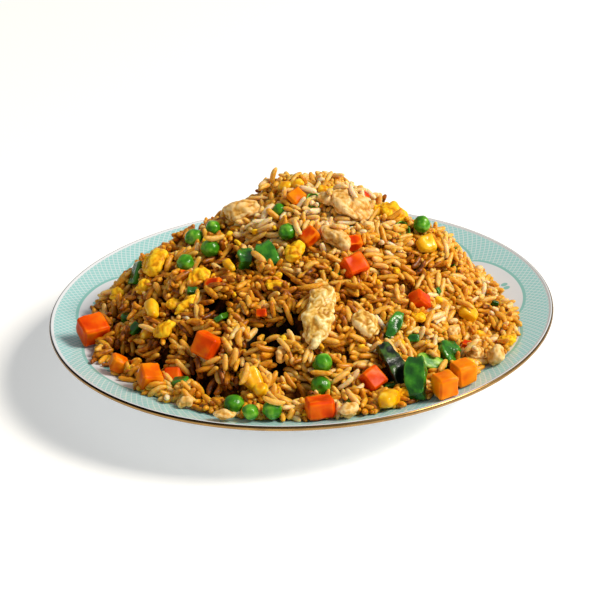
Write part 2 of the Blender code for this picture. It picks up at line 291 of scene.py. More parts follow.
def cooked_rice():
    """Steamed long-grain rice fried in oil and soy: a soft, slightly clear gel with a sheen.

    The tone of each grain says how much sauce it took and carries painted light and shade: paler on
    the lit right and the top, darker in the lower layers and the gaps. The skin is blotched finely.
    """
    through = (0.75, (1.0, 0.55, 0.12), 2.4)
    made, shader, add = edible("fried long-grain rice", 0.42, 1.40, 0.36, through, (0.1, 0.18))
    place = add("ShaderNodeTexCoord").outputs["Object"]
    tone = add("ShaderNodeAttribute", attribute_name="tone").outputs["Fac"]
    blotch = add("ShaderNodeTexNoise", {"Vector": place, "Scale": 1 / (1.9 * MM), "Detail": 2.0})
    uneven = add("ShaderNodeMath", {0: blotch, 1: 0.7, 2: -0.35}, operation="MULTIPLY_ADD")
    mixed = add("ShaderNodeMath", {0: tone, 1: uneven}, operation="ADD")
    stops = [
        (0.0, "3e1e02"),
        (0.15, "8c4a04"),
        (0.32, "c47c0a"),
        (0.48, "dc9c1e"),
        (0.66, "e8b350"),
        (0.86, "eec482"),
        (1.0, "f1d4a6"),
    ]
    colour = add("ShaderNodeValToRGB", {0: mixed}, stops=stops)
    return feed_shader(made, shader, Base_Color=colour)


# What each food's skin is like: its colours from its folds to its swells, the folds painted
# darker as shade and the swells paler as light; the size of its blotches and the height of its
# fine relief, in mm, with its roughness, IOR and specular level; the light it lets through
# (share, depth of each colour, scale in mm); and its coat of oil (share and roughness)
OPAQUE = (0, (1.0, 0.2, 0.1), 1.0)
DRY = (0, 0.03)
CARROT_SKIN = (9, 0.10, 0.32, 1.36, 0.15), (0.3, (1.0, 0.45, 0.03), 1.5), DRY
FOODS = {
    # Diced carrot, boiled and fried: wet cut faces, with light coming through the corners, which
    # are also painted paler as a highlight.
    # The flesh from the outside of the root is redder than its heart.
    "boiled carrot flesh": ([(0.28, "c63200"), (0.5, "e04a00"), (0.75, "f27c0a")], *CARROT_SKIN),
    "boiled carrot heart": ([(0.32, "dc5e00"), (0.5, "f08000"), (0.72, "f89c14")], *CARROT_SKIN),
    # Garden peas: a thin waxy skin, shiny with oil, over flesh that lets light through
    "boiled green pea": (
        [(0.25, "1c5204"), (0.5, "3f8a0e"), (0.78, "8cc63e")],
        (4.5, 0.10, 0.24, 1.40, 0.4), (0.3, (0.4, 1.0, 0.1), 1.0), (0.1, 0.08),
    ),
    # Sweetcorn kernels: taut glossy skin, paler where the crown dents in
    "boiled sweetcorn": (
        [(0.25, "e09400"), (0.5, "f3bb08"), (0.8, "fade5a")],
        (5, 0.08, 0.3, 1.40, 0.35), (0.35, (1.0, 0.6, 0.05), 1.5), (0.2, 0.12),
    ),
    # Beaten egg fried in the pan: yellow curds browned where they touched the iron, and painted
    # darker in their folds as shade
    "fried beaten egg": (
        [(0.2, "d08804"), (0.42, "f2ae08"), (0.7, "fccc26")],
        (4, 0.25, 0.42, 1.40, 0.18), (0.3, (1.0, 0.6, 0.05), 1.2), (0.05, 0.2),
    ),
    # The paler scraps of the same egg, mostly white, with yellow in the folds, where painted shade
    # darkens it too
    "fried egg white": (
        [(0.2, "b87a10"), (0.45, "e2b450"), (0.72, "f4dc9c")],
        (5, 0.25, 0.4, 1.40, 0.5), (0.3, (1.0, 0.75, 0.35), 1.2), (0.2, 0.2),
    ),
    # Shreds of chicken breast: pale fibres, stained golden by the sauce between them, where painted
    # shade darkens them too
    "fried chicken breast": (
        [(0.12, "b87418"), (0.4, "e0a848"), (0.7, "f0cc88")],
        (4.5, 0.3, 0.45, 1.42, 0.35), (0.25, (1.0, 0.55, 0.25), 1.2), (0.12, 0.2),
    ),
    # Green pepper: a hard waxy skin with very small dimples, and strong highlights
    "green pepper skin": (
        [(0.25, "16500a"), (0.5, "22680c"), (0.8, "3f881a")],
        (6, 0.25, 0.25, 1.42, 0.5), (0.1, (0.3, 1.0, 0.1), 0.8), (0.25, 0.1),
    ),
    # A slip of the same pepper lying in shade: painted nearly black as painted shade
    "green pepper in painted shade": (
        [(0.3, "050a03"), (0.55, "13260a"), (0.85, "3c5c1c")],
        (5, 0.14, 0.3, 1.42, 0.5), OPAQUE, (0.2, 0.1),
    ),
    # Spring onion: fresh light green, paler inside
    "spring onion": (
        [(0.3, "3c8a10"), (0.5, "74aa26"), (0.75, "9cc448")],
        (3, 0.08, 0.42, 1.40, 0.5), (0.3, (0.6, 1.0, 0.3), 1.0), (0.05, 0.15),
    ),
    # Rice pressed together and soaked with soy, deep between the clumps: dull, and painted near
    # black in the gaps as painted shade
    "soy rice mash in painted shade": (
        [(0.22, "0c0501"), (0.5, "5c3006"), (0.8, "b4741c")],
        (3, 0.4, 0.7, 1.4, 0.12), OPAQUE, DRY,
    ),
}


def food(name):
    """The skin of a cooked piece: blotched, painted darker in its folds as shade and paler on its
    swells as light, finely uneven and moist.
    """
    if name in bpy.data.materials:
        return bpy.data.materials[name]
    stops, (blotch_size, bump, rough, ior, specular), through, oil = FOODS[name]
    made, shader, add = edible(name, rough, ior, specular, through, oil)
    place, size = add("ShaderNodeTexCoord").outputs["Object"], blotch_size * MM
    blotch = add("ShaderNodeTexNoise", {"Vector": place, "Scale": 1 / size, "Detail": 4.0})
    fine = add("ShaderNodeTexNoise", {"Vector": place, "Scale": 5 / size, "Detail": 3.0})
    relief = add("ShaderNodeAttribute", attribute_name="relief").outputs["Fac"]
    # painted shade and light: the relief mark darkens hollows and lightens swells
    folds = add("ShaderNodeMath", {0: relief, 1: 0.7, 2: -0.35}, operation="MULTIPLY_ADD")
    shade = add("ShaderNodeMath", {0: blotch, 1: folds}, operation="ADD")
    colour = add("ShaderNodeValToRGB", {0: shade}, stops=stops)
    uneven = add("ShaderNodeBump", {"Height": fine, "Distance": bump * MM, "Strength": 1.0})
    return feed_shader(made, shader, Base_Color=colour, Normal=uneven)


# ---------------------------------------------------------------- meshes


def in_scene(name, data):
    made = bpy.data.objects.new(name, data)
    bpy.context.scene.collection.objects.link(made)
    return made


def kept_on_plate(mesh):
    """Flattens what would reach into the porcelain, so that the food rests on the glaze."""
    places = vertex_vectors(mesh, "co")
    glaze = plate_top(np.hypot(places[:, 0], places[:, 1])) + 0.05 * MM
    places[:, 2] = np.maximum(places[:, 2], glaze)
    mesh.vertices.foreach_set("co", places.ravel())
    mesh.update()


def new_piece(name, mesh, finish, slot, *nodes):
    """Puts a finished mesh in the scene, riding on the plate, in place of its solids."""
    mesh.name = name
    mesh.materials.clear()
    mesh.materials.append(finish)
    mesh.shade_smooth()
    if slot != "porcelain":
        kept_on_plate(mesh)
    made = in_scene(name, mesh)
    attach(made, "root")
    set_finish(made, slot)
    if nodes:
        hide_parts(*nodes)


def mesh_of(shape):
    mesh = bpy.data.meshes.new("shape")
    shape.to_mesh(mesh)
    shape.free()
    return mesh


def evaluated(mesh, *modifiers):
    """The mesh with modifiers on it, as a plain mesh. Each is a kind and its settings.

    A setting that isn't the modifier's own is an input of its node tree, by identifier.
    """
    carrier = in_scene("carrier", mesh)
    for kind, settings in modifiers:
        modifier = carrier.modifiers.new(kind, kind)
        for name, value in settings.items():
            if hasattr(modifier, name):
                setattr(modifier, name, value)
            else:
                modifier[name] = value
    carrier_now = carrier.evaluated_get(bpy.context.evaluated_depsgraph_get())
    made = bpy.data.meshes.new_from_object(carrier_now)
    bpy.data.objects.remove(carrier)
    bpy.data.meshes.remove(mesh)
    return made


def smoothing(levels):
    return "SUBSURF", {"levels": levels, "render_levels": levels}


def solid_form(node, tightness=0.0):
    """A topping's solid, welded, with its flat faces whole and its edges held tight."""
    shape = bmesh.new()
    shape.from_mesh(frame["nodes"][node].data)
    bmesh.ops.remove_doubles(shape, verts=shape.verts, dist=0.005 * MM)
    flat = math.radians(1)
    bmesh.ops.dissolve_limit(shape, angle_limit=flat, verts=shape.verts, edges=shape.edges)
    crease = shape.edges.layers.float.new("crease_edge")
    for edge in shape.edges:
        edge[crease] = tightness
    return mesh_of(shape)


def raised(mesh, height):
    """Moves each vertex along its normal by height(place)."""
    places = [v.co.copy() for v in mesh.vertices]
    normals = [v.normal.copy() for v in mesh.vertices]
    for vertex, place, normal in zip(mesh.vertices, places, normals):
        vertex.co = place + normal * height(place)
    mesh.update()
    return mesh


def marked_for_painted_shading(mesh, rounds=8, depth=0.25 * MM):
    """Stores how far each point stands out of its surroundings, for painted shade in its hollows
    and painted light on its swells: 0.5 is level with them.
    """
    count = len(mesh.vertices)
    places, normals = vertex_vectors(mesh, "co"), vertex_vectors(mesh, "normal")
    ends = np.empty(2 * len(mesh.edges), int)
    mesh.edges.foreach_get("vertices", ends)
    first, second = ends.reshape(-1, 2).T
    meeting = np.maximum(np.bincount(ends, minlength=count), 1)
    level = places
    for _ in range(rounds):
        sums = [
            np.bincount(first, axis[second], count) + np.bincount(second, axis[first], count)
            for axis in level.T
        ]
        level = np.stack(sums, axis=1) / meeting[:, None]
    out = ((places - level) * normals).sum(1) / depth
    mark(mesh, "relief", np.clip(0.5 + 0.5 * (out - np.median(out)), 0, 1))
    return mesh


def turned(profile, segments, closed=False):
    """A form turned about Z from a half section of (radius, height) points."""
    shape = bmesh.new()
    turns = [2 * math.pi * i / segments for i in range(segments)]
    rings = []
    for radius, height in profile:
        around = [(radius * math.cos(t), radius * math.sin(t)) for t in turns]
        rings.append([shape.verts.new((x, y, height)) for x, y in (around if radius else [(0, 0)])])
    pairs = list(zip(rings, rings[1:])) + ([(rings[-1], rings[0])] if closed else [])
    for upper, lower in pairs:
        for i in range(segments):
            j = (i + 1) % segments
            corners = [upper[i % len(upper)], lower[i % len(lower)]]
            corners += [lower[j % len(lower)], upper[j % len(upper)]]
            shape.faces.new(list(dict.fromkeys(corners)))
    bmesh.ops.recalc_face_normals(shape, faces=shape.faces)
    return mesh_of(shape)


def vertex_vectors(mesh, field):
    """The places or the normals of a mesh's vertices, one row each."""
    values = np.empty(3 * len(mesh.vertices))
    mesh.vertices.foreach_get(field, values)
    return values.reshape(-1, 3)


def mark(mesh, name, values):
    """Stores a number for each vertex of a mesh, for its material to read."""
    attribute = mesh.attributes.new(name, "FLOAT", "POINT")
    attribute.data.foreach_set("value", values.astype(np.float32))


# ---------------------------------------------------------------- the plate


def plate_top(radius):
    """Height of the plate's upper face at distances from its axis."""
    shoulder = PLATE_HEIGHT - RIM_SLOPE * (PLATE_RADIUS - SHOULDER_RADIUS)
    width = SHOULDER_RADIUS - WELL_RADIUS
    u = np.clip((radius - WELL_RADIUS) / width, 0, 1)
    wall = (shoulder - WELL_FLOOR) * u * u * (3 - 2 * u) + RIM_SLOPE * width * u * u * (u - 1)
    return WELL_FLOOR + wall + RIM_SLOPE * np.maximum(radius - SHOULDER_RADIUS, 0)


def plate_under(radius):
    share = (radius - WELL_RADIUS) / (PLATE_RADIUS - WELL_RADIUS)
    return plate_top(radius) - WALL + (WALL - 2 * BEAD) * share


def edge_arc(bead, first, last, steps):
    """Points of the rounded edge, from one angle to another, in degrees from outwards."""
    turns = np.radians(np.linspace(first, last, steps))
    middle_radius, middle_height = PLATE_RADIUS - BEAD, PLATE_HEIGHT - BEAD
    return [(middle_radius + bead * math.cos(t), middle_height + bead * math.sin(t)) for t in turns]


def make_plate(look):
    top = [(0, WELL_FLOOR)] + [(r, WELL_FLOOR) for r in np.linspace(9, 54, 6) * MM]
    top += [(r, plate_top(r)) for r in np.linspace(WELL_RADIUS, PLATE_RADIUS - 1.3 * BEAD, 60)]
    edge = edge_arc(BEAD, 92, -88, 15)
    under = [(r, plate_under(r)) for r in np.linspace(PLATE_RADIUS - 1.3 * BEAD, 57 * MM, 24)]
    foot = [
        (FOOT_OUTER, FOOT_HEIGHT / 2),
        (FOOT_OUTER - 0.2 * MM, 0.2 * MM),
        (FOOT_OUTER - 0.6 * MM, 0),
        (FOOT_INNER, 0),
        (FOOT_INNER - 0.4 * MM, 0.3 * MM),
        (FOOT_INNER - 0.6 * MM, FOOT_HEIGHT),
        (0, FOOT_HEIGHT),
    ]
    mesh = turned(top + edge + under + foot, segments=288)
    new_piece("porcelain_plate", mesh, glazed_porcelain(look), "porcelain", "plate")
    outer = edge_arc(BEAD + 0.06 * MM, 66, -78, 19)
    inner = edge_arc(BEAD - 0.05 * MM, -78, 66, 19)
    gilt = turned(outer + inner, segments=288, closed=True)
    new_piece("gilt_edge", gilt, burnished_gilding(look), "porcelain")


# ---------------------------------------------------------------- the heap's form

# Deep hollows between clumps of rice: x, y, radius and depth, in mm
HOLLOWS = (
    (-15, -54, 5.5, 8.0),
    (-6, -54, 5.5, 8.0),
    (-1, -17, 5.0, 6.0),
    (-28, -12, 4.5, 5.0),
    (42, -30, 4.0, 4.0),
    (-4, -81, 4.5, 4.5),
    (-37, -67, 4.5, 5.0),
    (-55, -50, 4.5, 4.5),
    (-33, -41, 4.5, 5.0),
    (-43, -49, 4.0, 4.5),
    (-48, -33, 4.0, 4.5),
    (-58, -58, 3.5, 3.5),
    (-67, -39, 3.5, 4.0),
    (-26, -76, 3.5, 3.5),
    (15, -80, 3.0, 3.0),
    (31, -68, 5.0, 5.0),
    (70, -58, 3.5, 3.0),
)
# Where the rice is painted paler or darker: x, y and radius in mm, and the change of tone.
# Partly sauce lying thick or thin, partly painted light and shade: the big pale patch on the
# top is painted light, and the dark patches in the middle and on the left are partly painted shade.
SAUCE_AND_LIGHT_PATCHES = (
    (-14, -38, 22, -0.10),
    (-60, -30, 22, -0.03),
    (12, -34, 18, -0.07),
    (0, -88, 30, 0.07),
    (7, 2, 24, 0.34),
    (0, 45, 40, 0.05),
)


def sauce_and_painted_light(x, y):
    """How much paler or darker the rice is painted at places in plan: sauce, and painted light that
    is paler towards the lit right.
    """
    # painted light: paler towards the right, where the key light falls
    change = 0.06 * x / (80 * MM)
    for patch_x, patch_y, radius, amount in SAUCE_AND_LIGHT_PATCHES:
        away = np.hypot(x - patch_x * MM, y - patch_y * MM) / (radius * MM)
        change = change + amount * np.exp(-(away**2))
    return change


class HeapForm:
    """The top of the heap as heights on a square grid, with the toppings' pockets closed."""

    STEP = 1.5 * MM
    POCKET = 5  # steps; half the width of the widest pocket
    SWELLS = ((1.9, 11), (1.3, 5.5))  # heights and sizes of the lumps in the heap, in mm
    GAP_SIZE = 6.5  # mm across the clumps
    GAP_DEPTH = 4.0 * MM
    GAP_START, GAP_SOFTNESS = 0.08, 0.25  # values of the noise where gaps start and deepen
    MOST_BARE = 0.85  # share of grains that the deepest gaps lose

    def __init__(self):
        low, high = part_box("rice_heap")
        margin = (self.POCKET + 3) * self.STEP
        self.low = np.array([low.x - margin, low.y - margin])
        sides = high.x - low.x + 2 * margin, high.y - low.y + 2 * margin
        self.size = tuple(int(side / self.STEP) + 2 for side in sides)
        mesh = frame["nodes"]["rice_heap"].data
        tree = BVHTree.FromPolygons(
            [v.co for v in mesh.vertices], [tuple(p.vertices) for p in mesh.polygons]
        )
        x, y = self.grid()
        bare = plate_top(np.hypot(x, y))
        heights = bare.copy()
        solid = np.zeros(self.size)
        for cell in np.ndindex(self.size):
            hit = tree.ray_cast(Vector((x[cell], y[cell], 1)), Vector((0, 0, -1)))[0]
            if hit:
                heights[cell], solid[cell] = hit.z, 1
        self.covered = self.closed(solid)
        heights = np.where(self.covered > 0, self.closed(heights), bare)
        for _ in range(2):
            heights = np.mean(list(self.shifted(heights, 1)), axis=0)
        self.gaps = self.gaps_between_clumps(x, y)
        heights += (self.relief(x, y) - self.gaps) * self.covered
        self.heights = np.maximum(heights, bare)
        self.slope_x, self.slope_y = np.gradient(self.heights, self.STEP)

    def closed(self, values):
        """The grid with its pockets filled level with what is round them."""
        filled = np.max(list(self.shifted(values, self.POCKET)), axis=0)
        return np.min(list(self.shifted(filled, self.POCKET)), axis=0)

    def noise_over(self, x, y, size, shift=0.0):
        """Smooth noise on the grid, whose lumps are about this many millimetres across."""
        places = zip(x.flat, y.flat)
        made = [noise.noise(Vector((u / MM, v / MM, shift)) / size) for u, v in places]
        return np.reshape(made, self.size)

    def relief(self, x, y):
        """Lumps where grains cling together."""
        return sum(high * self.noise_over(x, y, size) for high, size in self.SWELLS) * MM

    def gaps_between_clumps(self, x, y):
        """How far the rice sinks between its clumps: deepest in the hollows."""
        sunk = -self.noise_over(x, y, self.GAP_SIZE, shift=40.0) - self.GAP_START
        apart = np.clip(sunk / self.GAP_SOFTNESS, 0, 1)
        # less so towards the back, the right, and where the rice is painted paler for sauce and
        # light
        front = np.clip((30 * MM - y) / (60 * MM), 0.35, 1)
        front = front * np.clip((60 * MM - x) / (90 * MM), 0.4, 1)
        thick = np.clip(1 - 7 * sauce_and_painted_light(x, y), 0, 1)
        made = self.GAP_DEPTH * apart * front * thick
        for hollow_x, hollow_y, radius, depth in HOLLOWS:
            away = np.hypot(x - hollow_x * MM, y - hollow_y * MM) / (radius * MM)
            made = np.maximum(made, depth * MM * np.exp(-(away**4)))
        return made

    def grid(self):
        x = self.low[0] + self.STEP * np.arange(self.size[0])
        y = self.low[1] + self.STEP * np.arange(self.size[1])
        return np.meshgrid(x, y, indexing="ij")

    def shifted(self, heights, reach):
        """The grid moved by every step within reach, to be taken together."""
        padded = np.pad(heights, reach, mode="edge")
        rows, columns = self.size
        for i in range(2 * reach + 1):
            for j in range(2 * reach + 1):
                if math.hypot(i - reach, j - reach) <= max(reach, 1.5):
                    yield padded[i : i + rows, j : j + columns]

    def read(self, values, x, y):
        """A grid's values at places in plan, between its points."""
        u = np.clip((x - self.low[0]) / self.STEP, 0, self.size[0] - 1.001)
        v = np.clip((y - self.low[1]) / self.STEP, 0, self.size[1] - 1.001)
        i, j = u.astype(int), v.astype(int)
        u, v = u - i, v - j
        return (
            values[i, j] * (1 - u) * (1 - v)
            + values[i + 1, j] * u * (1 - v)
            + values[i, j + 1] * (1 - u) * v
            + values[i + 1, j + 1] * u * v
        )

    def top(self, x, y):
        return self.read(self.heights, np.asarray(x, float), np.asarray(y, float))

    def normals(self, x, y):
        x, y = np.asarray(x, float), np.asarray(y, float)
        away = -self.read(self.slope_x, x, y), -self.read(self.slope_y, x, y)
        normals = np.stack([*away, np.ones_like(x)], axis=-1)
        return normals / np.linalg.norm(normals, axis=-1, keepdims=True)

    def scattered(self, count, dice):
        """Places spread over the heap's skin, few of them in the gaps: one row each."""
        high = self.low + self.STEP * (np.array(self.size) - 1)
        found = np.empty((0, 2))
        while len(found) < count:
            places = dice.uniform(self.low, high, (4 * count, 2))
            x, y = places.T
            steep = 1 / self.normals(x, y)[:, 2]
            kept = self.read(self.covered, x, y) > 0.9
            kept &= dice.uniform(0, 3.0, len(x)) < steep
            bare = np.clip(self.read(self.gaps, x, y) / (2.6 * MM), 0, self.MOST_BARE)
            kept &= dice.uniform(0, 1, len(x)) > bare
            found = np.concatenate([found, places[kept]])
        return found[:count]


# The core is a disc of rings: their number, the points of each, and its radius and middle
CORE_RINGS, CORE_TURNS = 56, 150
CORE_RADIUS = 80 * MM
CORE_MIDDLE = Vector((-2.0, -4.0)) * MM
CORE_LUMP, CORE_RELIEF = 2.6 * MM, 2.2 * MM  # size and height of its lumps
CORE_CLEARANCE = 0.35 * MM  # from the glaze under it
CORE_THINNEST = 0.3 * MM


def make_core(form, look):
    """The inner rice under the loose grains: its tone follows the sauce and painted light, and it
    is painted near black in the gaps between clumps as painted shade.
    """
    shape = bmesh.new()

    def column(x, y):
        """The points of the core's top and bottom at one place in plan."""
        depth = look.core_depth / form.normals(x, y)[2]
        lumps = crumpled(Vector((x, y, 0)), CORE_LUMP) * CORE_RELIEF
        floor = float(plate_top(math.hypot(x, y))) + CORE_CLEARANCE
        top = max(float(form.top(x, y)) - depth + lumps, floor + CORE_THINNEST)
        return shape.verts.new((x, y, top)), shape.verts.new((x, y, floor))

    centre = column(*CORE_MIDDLE)
    top, bottom = [], []
    for ring in range(1, CORE_RINGS + 1):
        radius = CORE_RADIUS * ring / CORE_RINGS
        turns = [2 * math.pi * i / CORE_TURNS for i in range(CORE_TURNS)]
        columns = [
            column(CORE_MIDDLE.x + radius * math.cos(t), CORE_MIDDLE.y + radius * math.sin(t))
            for t in turns
        ]
        top.append([upper for upper, _ in columns])
        bottom.append([lower for _, lower in columns])
    bands = [*zip(top, top[1:]), *zip(bottom, bottom[1:]), (top[-1], bottom[-1])]
    for i in range(CORE_TURNS):
        j = (i + 1) % CORE_TURNS
        for first, second in bands:
            shape.faces.new((first[i], second[i], second[j], first[j]))
        for middle, skin in zip(centre, (top, bottom)):
            shape.faces.new((middle, skin[0][i], skin[0][j]))
    bmesh.ops.recalc_face_normals(shape, faces=shape.faces)
    mesh = mesh_of(shape)
    x, y, _ = vertex_vectors(mesh, "co").T
    # painted shade: near black where the gaps between clumps are deep, kept in the relief attribute
    shade = 0.6 + 2.2 * sauce_and_painted_light(x, y) - 0.3 * form.read(form.gaps, x, y) / MM
    mark(mesh, "relief", np.clip(shade, 0, 1))
    new_piece("rice_core", mesh, food("soy rice mash in painted shade"), "rice", "rice_heap")


# ---------------------------------------------------------------- loose grains

BEADS = np.array([-1.0, -1 / 3, 1 / 3, 1.0])  # balls that stand for a grain, along it
CLING = 0.425  # their radius over a grain's width: soft grains cling and press together
LAYERS = (0.40, 0.33, 0.27)  # shares of the grains on top, under them, and deepest
TOP_DEPTH, LAYER_STEP = 0.35, 0.85  # of a grain's width: the top layer, and each one down
CLUMP_REACH = 4.5 * MM  # from a clump's middle to where its dome is level with the heap
CLUMP_PULL = 0.12  # share of the way that a grain is drawn to its clump's middle
CLUMP_LIMIT = 3.0 * MM  # most that a clump moves a grain out or in
STRAY_DEPTH = -0.45  # of a grain's width: strays lie on top
SHORTEST, LONGEST = 5.2 * MM, 9.8 * MM
BROKEN = 0.14  # share of broken grains
HARDLY_SAUCED, PALER = 0.08, 0.26  # share of pale grains, and their change of tone
MOST_LEAN = 0.9  # sine of the steepest angle out of the heap's skin
GRAIN_BENDS = (0.1, 0.55, 1.0)  # shares of the full bend, one for each kind of grain
FLATNESS = 0.88  # a grain's thickness over its width
# How strongly each round of settling acts: the push out of an overlap, the move and the turn
# that it gives, and the pull back to a grain's own depth and place
PUSH, MOVE, TURN, SINK, RETURN = 1.3, 1.6, 0.9, 0.12, 0.03
RESTING = 0.48  # of a grain's width: least height of its middle line over the glaze


def close_pairs(points, reach):
    """Indices of the pairs of points closer together than reach, found on a grid."""
    cell = np.floor((points - points.min(0)) / reach).astype(np.int64) + 1
    span = cell.max(0) + 2
    key = (cell[:, 0] * span[1] + cell[:, 1]) * span[2] + cell[:, 2]
    order = np.argsort(key, kind="stable")
    ordered = key[order]
    index = np.arange(len(points))
    steps = [(1, dy, dz) for dy in (-1, 0, 1) for dz in (-1, 0, 1)]
    steps += [(0, 1, -1), (0, 1, 0), (0, 1, 1), (0, 0, 1), (0, 0, 0)]
    firsts, seconds = [], []
    for dx, dy, dz in steps:
        target = ordered + (dx * span[1] + dy) * span[2] + dz
        own = (dx, dy, dz) == (0, 0, 0)
        start = index + 1 if own else np.searchsorted(ordered, target, "left")
        stop = np.searchsorted(ordered, target, "right")
        count = np.maximum(stop - start, 0)
        first = np.repeat(index, count)
        within = np.arange(count.sum()) - np.repeat(np.cumsum(count) - count, count)
        firsts.append(order[first])
        seconds.append(order[np.repeat(start, count) + within])
    first, second = np.concatenate(firsts), np.concatenate(seconds)
    near = ((points[first] - points[second]) ** 2).sum(1) < reach * reach
    return first[near], second[near]


def unit(vectors):
    return vectors / np.linalg.norm(vectors, axis=-1, keepdims=True)


class Grains:
    """Loose grains in clumps over the heap's form, pushed apart until they lie snugly."""

    def __init__(self, form, look, obstacles):
        self.dice = dice = np.random.default_rng(look.seed)
        self.form, self.obstacles = form, obstacles
        count, strays = look.grain_count, look.stray_count
        places = form.scattered(count, dice)
        clumps = form.scattered(look.clump_count, dice)
        away = np.linalg.norm(places[:, None] - clumps[None], axis=2)
        clump = np.argmin(away + dice.normal(0, 0.8 * MM, away.shape), axis=1)
        off = away[np.arange(count), clump]
        places += CLUMP_PULL * (clumps[clump] - places)
        layer = dice.choice(3, count, p=LAYERS)
        depth = look.grain_width * (TOP_DEPTH + LAYER_STEP * layer)
        depth += dice.normal(0, 0.3 * MM, count)
        rise = dice.normal(0, look.clump_relief, len(clumps))[clump]
        dome = look.clump_relief * (1 - (off / CLUMP_REACH) ** 2)
        depth -= np.clip(rise + dome, -CLUMP_LIMIT, CLUMP_LIMIT)
        skin = np.column_stack([places, form.top(*places.T)])
        stray_skin, stray_normal = self.on_toppings(strays)
        self.normal = np.concatenate([form.normals(*places.T), stray_normal])
        depth = np.concatenate([depth, np.full(strays, STRAY_DEPTH * look.grain_width)])
        self.anchor = np.concatenate([skin, stray_skin]) - self.normal * depth[:, None]
        self.centre = self.anchor.copy()

        turn = dice.uniform(0, 2 * math.pi, len(clumps))[clump] + dice.normal(0, 0.5, count)
        turn = np.concatenate([turn, dice.uniform(0, 2 * math.pi, strays)])
        tone = dice.normal(0, 0.13, count) + dice.normal(0, 0.10, len(clumps))[clump]
        tone[dice.uniform(size=count) < HARDLY_SAUCED] += PALER
        # painted shade: each lower layer of grains is darker
        self.tone = np.concatenate([tone - 0.05 * layer, dice.normal(0.12, 0.12, strays)])
        count += strays
        length = np.clip(dice.normal(look.grain_length, 0.85 * MM, count), SHORTEST, LONGEST)
        broken = dice.uniform(size=count) < BROKEN
        length[broken] *= dice.uniform(0.4, 0.75, broken.sum())
        self.length = length
        self.width = look.grain_width * np.clip(dice.normal(1, 0.08, count), 0.8, 1.2)
        self.lean = np.clip(dice.normal(0, 0.35, count), -MOST_LEAN, MOST_LEAN)
        self.lean[len(places) :] *= 0.3
        self.axis = self.leaning(np.column_stack([np.cos(turn), np.sin(turn), 0 * turn]))

    def on_toppings(self, count):
        """Places on top of the toppings for stray grains, and the surface's direction there."""
        tree, low, high = self.obstacles
        skins, normals = [], []
        while len(skins) < count:
            x, y = self.dice.uniform(low[:2], high[:2])
            skin, normal, _, _ = tree.ray_cast(Vector((x, y, 1)), Vector((0, 0, -1)))
            if skin and normal.z > 0.35:
                skins.append(skin)
                normals.append(normal)
        return np.array(skins), np.array(normals)

    def leaning(self, axis):
        """Axes laid along the skin of the heap, each with its own lean out of it."""
        out = (axis * self.normal).sum(1, keepdims=True)
        along = unit(axis - out * self.normal)
        lean = self.lean[:, None]
        return unit(along * np.sqrt(1 - lean**2) + self.normal * lean)

    def beads(self):
        """Where the balls of each grain are, and how far along it."""
        half = (self.length / 2 - 0.45 * self.width)[:, None] * BEADS
        return self.centre[:, None] + half[..., None] * self.axis[:, None], half

    def settle(self, steps):
        """Rounds of pushing grains off each other, the toppings and the glaze."""
        for step in range(steps):
            places, half = self.beads()
            flat = places.reshape(-1, 3)
            push = np.zeros_like(flat)
            hits = np.zeros(len(flat))
            radius = np.repeat(self.width * CLING, len(BEADS))
            first, second = close_pairs(flat, 2 * radius.max())
            apart = first // len(BEADS) != second // len(BEADS)
            first, second = first[apart], second[apart]
            gap = flat[first] - flat[second]
            distance = np.maximum(np.linalg.norm(gap, axis=1), 1e-7)
            overlap = radius[first] + radius[second] - distance
            met = overlap > 0
            first, second = first[met], second[met]
            shove = gap[met] * (0.5 * overlap[met] / distance[met])[:, None]
            for k in range(3):
                push[:, k] += np.bincount(first, shove[:, k], len(flat))
                push[:, k] -= np.bincount(second, shove[:, k], len(flat))
            for met_by in (first, second):
                hits += np.bincount(met_by, minlength=len(flat))
            push *= (PUSH / np.maximum(hits, 1))[:, None]
            if step % 2 == 0 or step >= steps - 3:
                self.clear_of_toppings(flat, radius, push)
            low = plate_top(np.hypot(flat[:, 0], flat[:, 1])) + radius - flat[:, 2]
            push[:, 2] += np.maximum(low, 0)
            push = push.reshape(places.shape)
            self.centre += push.mean(1) * MOVE
            turn = (push * half[..., None]).sum(1) / (half**2).sum(1)[:, None]
            self.axis = unit(self.axis + TURN * turn)
            drift = self.anchor - self.centre
            out = (drift * self.normal).sum(1, keepdims=True)
            self.centre += self.normal * out * SINK + drift * RETURN
            strayed = self.form.read(self.form.covered, *self.centre[:, :2].T) < 0.9
            self.centre[strayed] += 0.8 * drift[strayed]

        places, _ = self.beads()
        glaze = plate_top(np.hypot(places[..., 0], places[..., 1]))
        low = glaze + RESTING * self.width[:, None] - places[..., 2]
        self.centre[:, 2] += np.maximum(low.max(1), 0)

    def clear_of_toppings(self, flat, radius, push):
        """Adds to the push of each ball that reaches into a topping."""
        tree, low, high = self.obstacles
        reach = radius.max()
        near = ((flat > low - reach) & (flat < high + reach)).all(1)
        for i in np.nonzero(near)[0]:
            place = Vector(flat[i])
            nearest, normal, _, distance = tree.find_nearest(place, 3.5 * MM)
            if nearest is None:
                continue
            outside = (place - nearest).dot(normal) > 0
            short = radius[i] - (distance if outside else -distance)
            if short > 0:
                push[i] += np.array(normal) * short


def turns_to(axis, out):
    """Quaternions, w first, that turn +X to each axis and +Z towards each out."""
    out = unit(out - (out * axis).sum(1, keepdims=True) * axis)
    side = np.cross(out, axis)
    (xx, xy, xz), (yx, yy, yz), (zx, zy, zz) = axis.T, side.T, out.T
    parts = np.stack([1 + xx + yy + zz, 1 + xx - yy - zz, 1 - xx + yy - zz, 1 - xx - yy + zz])
    w, x, y, z = np.sqrt(np.maximum(parts, 0)) / 2
    turns = [w, np.copysign(x, yz - zy), np.copysign(y, zx - xz), np.copysign(z, xy - yx)]
    return np.stack(turns, axis=1)


